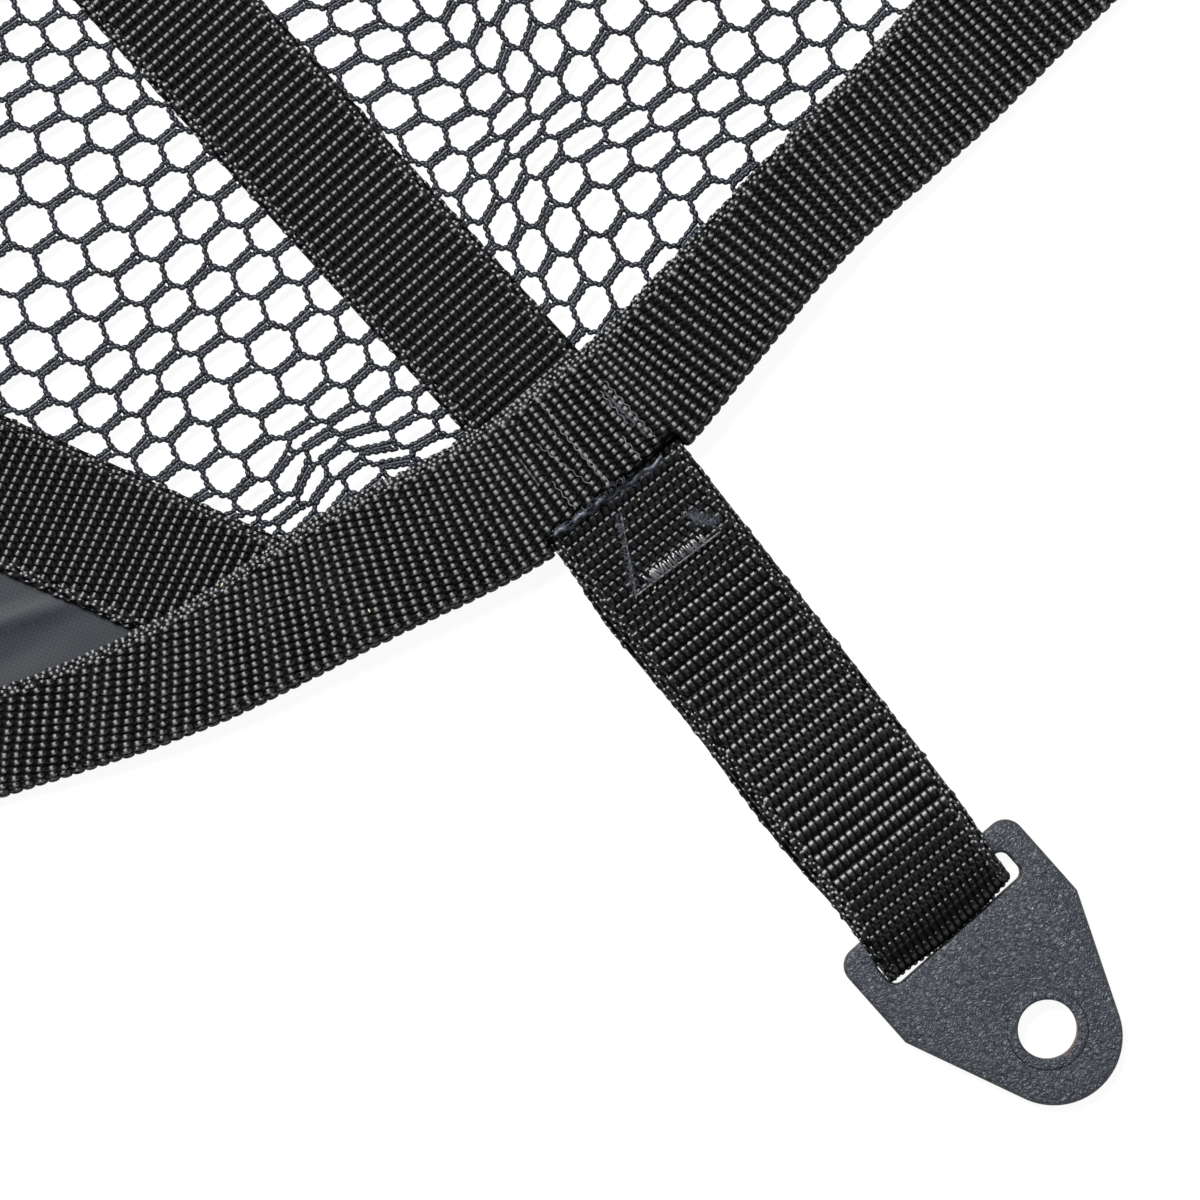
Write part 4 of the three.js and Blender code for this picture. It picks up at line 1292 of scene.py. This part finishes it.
def strap_floats(name, outer, middle, way, line):
    """Long stitches on the strap's upper layer, and small ones along its edges."""
    turn_at, length = way[np.argmax(line[:, 0])], way[-1]
    rows_at, at = [], length - 4
    while at > turn_at - 2.5:
        rows_at.append(at)
        at -= strap_row(np.interp(at, way, line[:, 0]))
    across, along = checker(STRAP["wide"], STRAP["pitch"], np.array(rows_at), STRAP["edge"])
    out = np.interp(along, way, line[:, 0])
    made = []
    for run in STRAP_RUNS:
        part = (out >= run["out"][0]) & (out < run["out"][1])
        points, heading, normal, grow, tone = place_floats(
            facing_out(outer), across[part], along[part], run["sink"], run["lean"], jitter=0.05, seed=61)
        made.append(lay_stitches(
            name, points, heading, normal, grow, run["float"], run["yarn"], tone=tone))
    for outwards in (1, -1):
        edge_at = outwards * STRAP["wide"] / 2
        made += edge_stitches(name, facing_out(outer), edge_at, outwards, (turn_at + 1, length - 5),
                              edge_yarn, 71 + outwards)
        made += edge_stitches(name, facing_out(middle), edge_at, outwards, (24, turn_at - 2),
                              edge_yarn, 75 + outwards, drop=-0.15)
    return join_meshes(name + "_stitches", made)


for anchor in ANCHORS:
    name = "strap_" + anchor["name"]
    outer, way, line = strap_surface(anchor, STRAP["out"])
    inner = strap_surface(anchor, STRAP["out"] - STRAP["thick"])[0]
    middle = strap_surface(anchor, STRAP["out"] - STRAP["thick"] / 2)[0]
    length = way[-1]
    stations = np.concatenate([np.arange(0, 94, 1.5), np.arange(94, 108, 0.5),
                               np.arange(108, length, 1.5), [length]])
    half = STRAP["wide"] / 2
    across = np.linspace(STRAP["rim"] - half, half - STRAP["rim"], 10)
    spots = np.concatenate([across, [half], across[::-1], [-half], across[:1]])
    rings, marks = [], []
    for at in stations:
        along, here = np.full(10, at), np.array([at])
        rings.append(np.vstack([outer(across, along), middle(np.array([half]), here),
                                inner(across[::-1], along), middle(np.array([-half]), here)]))
        marks.append(np.column_stack([spots, np.full(len(spots), at)]))
    ground = join_meshes(name + "_webbing", [
        sweep_mesh(name, np.array(rings), np.array(marks), strap_weave)])
    pieces = [ground]
    if anchor["name"] == "lower":
        pieces.append(strap_floats(name, outer, middle, way, line))
        sewn_strap, strap_stitches, sewn_line = *pieces, line
    for piece in pieces:
        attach(piece, "root")
    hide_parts(name)

# Sewing
# Black and off-white polyester thread. Black seams and a satin bar tack hold the strap in
# the fold; loose off-white stitches, heat-cut fuzz and a few specks lie at the corner.
SEAMS = [
    ((-0.04, -1.63), (-2.98, -14.49)), ((-2.8, -14.07), (12.69, -10.17)), ((9.14, -6.12), (12.98, -9.97)),
    ((4.8, 16.06), (8.19, 7.08)), ((-11.01, 12.13), (-9.78, 6.9)),
]
PALE_SEAMS = [
    ((5.5, 17.5), (9.2, 6.9)), ((-3.8, 14.1), (-0.7, 4.1)), ((-7.7, 12.8), (-2.7, 4.1)),
    ((4.6, 8.9), (6.0, 4.5)), ((-5.4, 20.0), (-3.6, 14.7)), ((-7.8, 6.8), (-6.2, 1.5)),
    ((-2.2, 10.1), (0.1, 2.9)), ((4.2, 16.4), (6.2, 10.3)), ((-5.3, 15.2), (-4.2, 12.1)),
]
BAR_TACK = {"from": (-0.34, -12.33), "to": (10.41, -9.86), "stitches": 25, "size": (2.3, 0.42, 0.34)}
HEAT_CUT = ((-10.57, -0.91), (9.06, 3.53))
# How far the stitches of strap and fold stand above their ground
STAND = {"strap": 0.22, "fold": 0.26}
# Fuzz along lines: from, to, spread and number of fibres
FUZZ = [(HEAT_CUT[0], HEAT_CUT[1], 0.75, 520), ((9.0, -5.5), (12.6, -8.6), 0.9, 130),
        ((-0.6, -2.0), (-2.9, -13.5), 0.45, 110), ((-1.5, -13.4), (3.0, -12.2), 0.5, 40),
        ((4.6, 15.5), (7.9, 7.8), 0.5, 50)]
SPECKS = [(3.23, -0.89), (0.24, -14.06), (-40.7, -0.37), (-59.58, 11.95)]
# Radii of the threads, and the way of each kind of seam: swing, stitch and lift
THREAD = {"black": 0.13, "pale": 0.065, "fibre": (0.025, 0.05), "ridge": (0.24, 0.5)}
SEAM_WAYS = {"black": (0.09, 1.1, 0.10), "pale": (0.16, 0.8, 0.07), "ridge": (0.28, 1.9, 0.16)}
top_half = sewn_line[np.argmax(sewn_line[:, 0]):][::-1]
corner_strap = ANCHORS[0]


def top_at(xy):
    """Height of the webbing's stitches at plan points round the corner."""
    turn = math.radians(corner_strap["angle"])
    out = (xy - [corner_strap["x"], corner_strap["y"]]) @ [math.cos(turn), math.sin(turn)]
    strap_top = np.interp(out, top_half[:, 0], top_half[:, 1]) + STRAP["out"] + STAND["strap"]
    away, along = to_edge(xy)
    fold_top = BINDING_TOP + binding_rise(along, xy) + STAND["fold"]
    return np.where(inside_edge(xy) & (away > SLIT_DEPTH), fold_top, strap_top)


def seam_line(start, end, wave, step, lift, dice):
    """Points along a seam, swinging to and fro and dipping where it is sewn down."""
    start, end = np.array(start), np.array(end)
    length = np.linalg.norm(end - start)
    share = np.linspace(0, 1, max(6, round(length / 0.22)))
    side = np.array([start[1] - end[1], end[0] - start[0]]) / length
    swing = wave * np.sin(share * length / step * math.pi) + dice.normal(0, 0.015, len(share))
    xy = start + np.outer(share, end - start) + np.outer(swing, side)
    dip = lift * np.abs(np.cos(share * length / step * math.pi)) - 0.05
    return to_frame(np.column_stack([xy, top_at(xy) + dip]))


def fibres(start, end, spread, count, dice):
    """Short bent fibres that stand out round a line."""
    start, end, lines = np.array(start), np.array(end), []
    for _ in range(count):
        at = start + (end - start) * dice.uniform() + dice.normal(0, spread * 0.5, 2)
        turn, reach, bend = dice.uniform(0, 2 * math.pi), dice.uniform(0.5, 1.7), dice.normal(0, 0.7)
        share = np.linspace(-0.5, 0.5, 4)
        heading = turn + bend * share
        xy = at + np.column_stack([np.cos(heading), np.sin(heading)]) * (share * reach)[:, None]
        lift = dice.uniform(0.02, 0.3) * (1 - 4 * share ** 2) + dice.normal(0, 0.02)
        lines.append(to_frame(np.column_stack([xy, top_at(xy[1:3]).mean() + lift])))
    return lines


dice = np.random.default_rng(91)
black_thread = yarn_material(
    "black_thread", (0.008, 0.009, 0.012), (0.05, 0.053, 0.065), 0.38, 7000, 0.9)
pale_thread = yarn_material("pale_thread", (0.10, 0.10, 0.105), (0.28, 0.28, 0.29), 0.5, 7000)
fuzz_yarn = yarn_material("fuzz", (0.02, 0.024, 0.036), (0.085, 0.095, 0.125), 0.45, 3000, 0.7)
tack_yarn = float_material("tack_yarn", (0.03, 0.031, 0.034), (0.10, 0.103, 0.11), 0.40, 1.0)
speck_dust = yarn_material("dust", (0.35, 0.26, 0.14), (0.75, 0.70, 0.60), 0.6, 2000, 0.4)
made = []
swing, stitch, lift = SEAM_WAYS["black"]
for start, end in SEAMS:
    for wave in (swing, -swing):
        line = seam_line(start, end, wave, stitch, lift, dice)
        made.append(yarn_along("seam", [line], [np.full(len(line), THREAD["black"] * MM)], 5, True,
                               black_thread))
pale = [seam_line(start, end, *SEAM_WAYS["pale"], dice) for start, end in PALE_SEAMS]
made.append(yarn_along("pale_seam", pale, [np.full(len(line), THREAD["pale"] * MM) for line in pale], 4,
                       True, pale_thread))
hair = [line for start, end, spread, count in FUZZ for line in fibres(start, end, spread, count, dice)]
taper = np.array([0.5, 1, 1, 0.5]) * MM
made.append(yarn_along("fuzz", hair, [taper * dice.uniform(*THREAD["fibre"]) for _ in hair], 3, True,
                       fuzz_yarn))
ridge = seam_line(*HEAT_CUT, *SEAM_WAYS["ridge"], dice)
made.append(yarn_along("heat_cut", [ridge], [dice.uniform(*THREAD["ridge"], len(ridge)) * MM], 7, True,
                       fuzz_yarn))
start, end = np.array(BAR_TACK["from"]), np.array(BAR_TACK["to"])
count = BAR_TACK["stitches"]
spots = start + np.outer((np.arange(count) + 0.5) / count, end - start) + dice.normal(0, 0.12, (count, 2))
turn = math.radians(corner_strap["angle"]) + dice.normal(0.1, 0.16, count)
headings = np.column_stack([-np.cos(turn), -np.sin(turn), np.full(count, -0.16)])
made.append(lay_stitches(
    "bar_tack", np.column_stack([spots, top_at(spots) + 0.05]), headings, np.tile([0, 0, 1], (count, 1)),
    dice.uniform(0.75, 1.1, count), BAR_TACK["size"], tack_yarn, tone=dice.uniform(0.6, 1.6, count)))
specks = np.array(SPECKS)
made.append(lay_stitches(
    "specks", np.column_stack([specks, top_at(specks) + 0.05]), dice.normal(0, 1, (4, 3)),
    np.tile([0, 0, 1], (4, 1)), dice.uniform(0.8, 1.3, 4), (0.6, 0.3, 0.25), speck_dust))
sewing = join_meshes("sewing", made)
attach(sewing, "root")

# Bolt tabs
# A 2.5 mm steel plate at the end of each strap, punched with a slot and a bolt hole,
# with a raised seat round the hole, in a blue-grey powder coat of fine wrinkles.
TAB = {"half": 17.35, "corner": 3.0, "kink": -12.8, "end_r": 10.4, "end_at": 1.55, "bolt_r": 4.5,
       "seat_r": 6.2, "slot_at": -22.6, "slot_wide": 5.0, "slot_long": 26.0, "slot_corner": 1.5,
       "bevel": 0.65}
# Section of the raised seat: (radius past the hole or the seat's rim, height)
SEAT_IN = [(0.02, 1.3), (0.02, 2.45), (0.12, 2.66), (0.34, 2.75)]
SEAT_OUT = [(-0.34, 2.75), (-0.12, 2.68), (0.05, 2.45), (0.05, 1.3)]
# Rust in the hole: its radius, half width and middle direction
RUST = {"radius": 4.55, "half": 0.25, "towards": 0.6, "spread": 0.72}


def arc_points(x, y, radius, start, end, count):
    """Points on an arc between two angles in degrees."""
    turn = np.radians(np.linspace(start, end, count + 1))
    return [(x + radius * math.cos(a), y + radius * math.sin(a)) for a in turn]


def tab_loops():
    """Outline, slot and bolt hole of a tab, measured from the hole's centre."""
    run = TAB["kink"] - TAB["end_at"]
    reach = math.hypot(run, TAB["half"])
    taper = math.degrees(math.atan2(TAB["half"], run) - math.acos(TAB["end_r"] / reach))
    corner_x, corner_y = TAB_TOP + TAB["corner"], TAB["half"] - TAB["corner"]
    plate = [(TAB["kink"], -TAB["half"])]
    plate += arc_points(TAB["end_at"], 0, TAB["end_r"], -taper, taper, 48)
    plate += [(TAB["kink"], TAB["half"])]
    plate += arc_points(corner_x, corner_y, TAB["corner"], 90, 180, 12)
    plate += arc_points(corner_x, -corner_y, TAB["corner"], 180, 270, 12)
    near = TAB["slot_at"] - TAB["slot_wide"] / 2 + TAB["slot_corner"]
    far = TAB["slot_at"] + TAB["slot_wide"] / 2 - TAB["slot_corner"]
    end, r = TAB["slot_long"] / 2 - TAB["slot_corner"], TAB["slot_corner"]
    slot = arc_points(far, end, r, 0, 90, 8) + arc_points(near, end, r, 90, 180, 8)
    slot += arc_points(near, -end, r, 180, 270, 8) + arc_points(far, -end, r, 270, 360, 8)
    hole = arc_points(0, 0, TAB["bolt_r"], 0, 360, 56)[:-1]
    return plate, slot, hole


def tab_material():
    """Powder coat: wrinkled dark blue-grey skin, painted shade darkening its rounded rim, rust in the
    hole.
    """
    made, nodes, links, shader = new_finish("wrinkled_coat")
    place = read_mark(nodes, "tab_place").outputs["Vector"]
    wrinkle, fleck = noise(nodes, place, 1.05, 2), noise(nodes, place, 5.5)
    set_sockets(wrinkle, {"Roughness": 0.55, "Distortion": 1.4})
    tones = two_tones(nodes, 0.35, 0.68, (0.020, 0.024, 0.032), (0.040, 0.047, 0.060))
    # The rim is painted shade: where the bevel turns from flat, the coat is mixed towards near black
    rim_shade = colour_mix(nodes, "MIX", {"B": (0.006, 0.007, 0.009, 1)})
    stain = colour_mix(nodes, "MIX", {"B": (0.30, 0.12, 0.035, 1)})
    sharp = two_tones(nodes, 0.56, 0.62, (0, 0, 0), (1, 1, 1))
    links.new(wrinkle.outputs["Fac"], tones.inputs[0])
    links.new(read_mark(nodes, "rim").outputs["Fac"], rim_shade.inputs["Factor"])
    links.new(tones.outputs[0], rim_shade.inputs["A"])
    links.new(fleck.outputs["Fac"], sharp.inputs[0])
    rusty = math_of(nodes, "MULTIPLY", sharp.outputs[0], read_mark(nodes, "rust").outputs["Fac"])
    links.new(rusty, stain.inputs["Factor"])
    links.new(rim_shade.outputs["Result"], stain.inputs["A"])
    links.new(stain.outputs["Result"], shader.inputs["Base Color"])
    links.new(bump_of(nodes, wrinkle.outputs["Fac"], 1.0, 0.0006), shader.inputs["Normal"])
    set_sockets(shader, {"Roughness": 0.44, "Specular IOR Level": 0.6})
    return made


def bevelled_plate():
    """The punched plate with rounded rims, and its raised seat, lying on z = 0."""
    shape = bpy.data.curves.new("tab_plate", "CURVE")
    shape.dimensions, shape.fill_mode = "2D", "BOTH"
    shape.extrude, shape.bevel_depth = TAB_THICK / 2 - TAB["bevel"], TAB["bevel"]
    shape.bevel_resolution, shape.offset = 3, -TAB["bevel"]
    for loop in tab_loops():
        spline = shape.splines.new("POLY")
        spline.points.add(len(loop) - 1)
        spline.use_cyclic_u = True
        for point, (x, y) in zip(spline.points, loop):
            point.co = (x, y, 0, 1)
    holder = bpy.data.objects.new("tab_plate", shape)
    bpy.context.scene.collection.objects.link(holder)
    depsgraph = bpy.context.evaluated_depsgraph_get()
    plate = bpy.data.meshes.new_from_object(holder.evaluated_get(depsgraph))
    bpy.data.objects.remove(holder)
    shaper = bmesh.new()
    shaper.from_mesh(plate)
    bmesh.ops.remove_doubles(shaper, verts=shaper.verts, dist=0.002)
    bmesh.ops.translate(shaper, verts=shaper.verts, vec=(0, 0, TAB_THICK / 2))
    profile = [(TAB["bolt_r"] + r, z) for r, z in SEAT_IN]
    profile += [(TAB["seat_r"] + r, z) for r, z in SEAT_OUT]
    turns = np.linspace(0, 2 * math.pi, 72, endpoint=False)
    grid = [[shaper.verts.new((r * math.cos(a), r * math.sin(a), z)) for r, z in profile] for a in turns]
    for i, row in enumerate(grid):
        nxt = grid[(i + 1) % len(grid)]
        for k in range(len(profile)):
            m = (k + 1) % len(profile)
            shaper.faces.new((row[k], nxt[k], nxt[m], row[m]))
    bmesh.ops.recalc_face_normals(shaper, faces=shaper.faces)
    shaper.to_mesh(plate)
    shaper.free()
    return plate


coat = tab_material()
plate_mesh = bevelled_plate()
for anchor in ANCHORS:
    mesh = plate_mesh.copy()
    mesh.materials.clear()
    mesh.materials.append(coat)
    local = np.array([v.co[:] for v in mesh.vertices])
    facing = np.array([n.vector[:] for n in mesh.vertex_normals])
    radius, turn = np.hypot(local[:, 0], local[:, 1]), np.arctan2(local[:, 1], local[:, 0])
    in_hole = np.clip(1.2 - np.abs(radius - RUST["radius"]) / RUST["half"], 0, 1)
    # Painted shade on the rim: the further a point's normal turns from straight up, the darker the coat
    # there
    mark_points(mesh, "rim", np.clip((0.93 - np.abs(facing[:, 2])) / 0.3, 0, 0.97))
    mark_points(mesh, "rust", in_hole * (np.cos(turn - RUST["towards"]) > RUST["spread"]))
    mark_points(mesh, "tab_place", local)
    place = (Matrix.Translation((anchor["x"], anchor["y"], 0))
             @ Matrix.Rotation(math.radians(anchor["angle"]), 4, "Z") @ Matrix.Translation((SLOT_AT, 0, 0))
             @ Matrix.Rotation(math.radians(anchor["turn"]), 4, "Z")
             @ Matrix.Translation((-TAB["slot_at"], 0, TAB_TIP * math.sin(TAB_TILT)))
             @ Matrix.Rotation(TAB_TILT, 4, "Y"))
    mesh.transform(Matrix.Scale(MM, 4) @ Matrix.Translation(Vector(PLAN_SHIFT)) @ place)
    mesh.shade_smooth()
    tab = join_meshes("tab_" + anchor["name"] + "_plate", [mesh])
    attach(tab, "root")
    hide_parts("tab_" + anchor["name"])
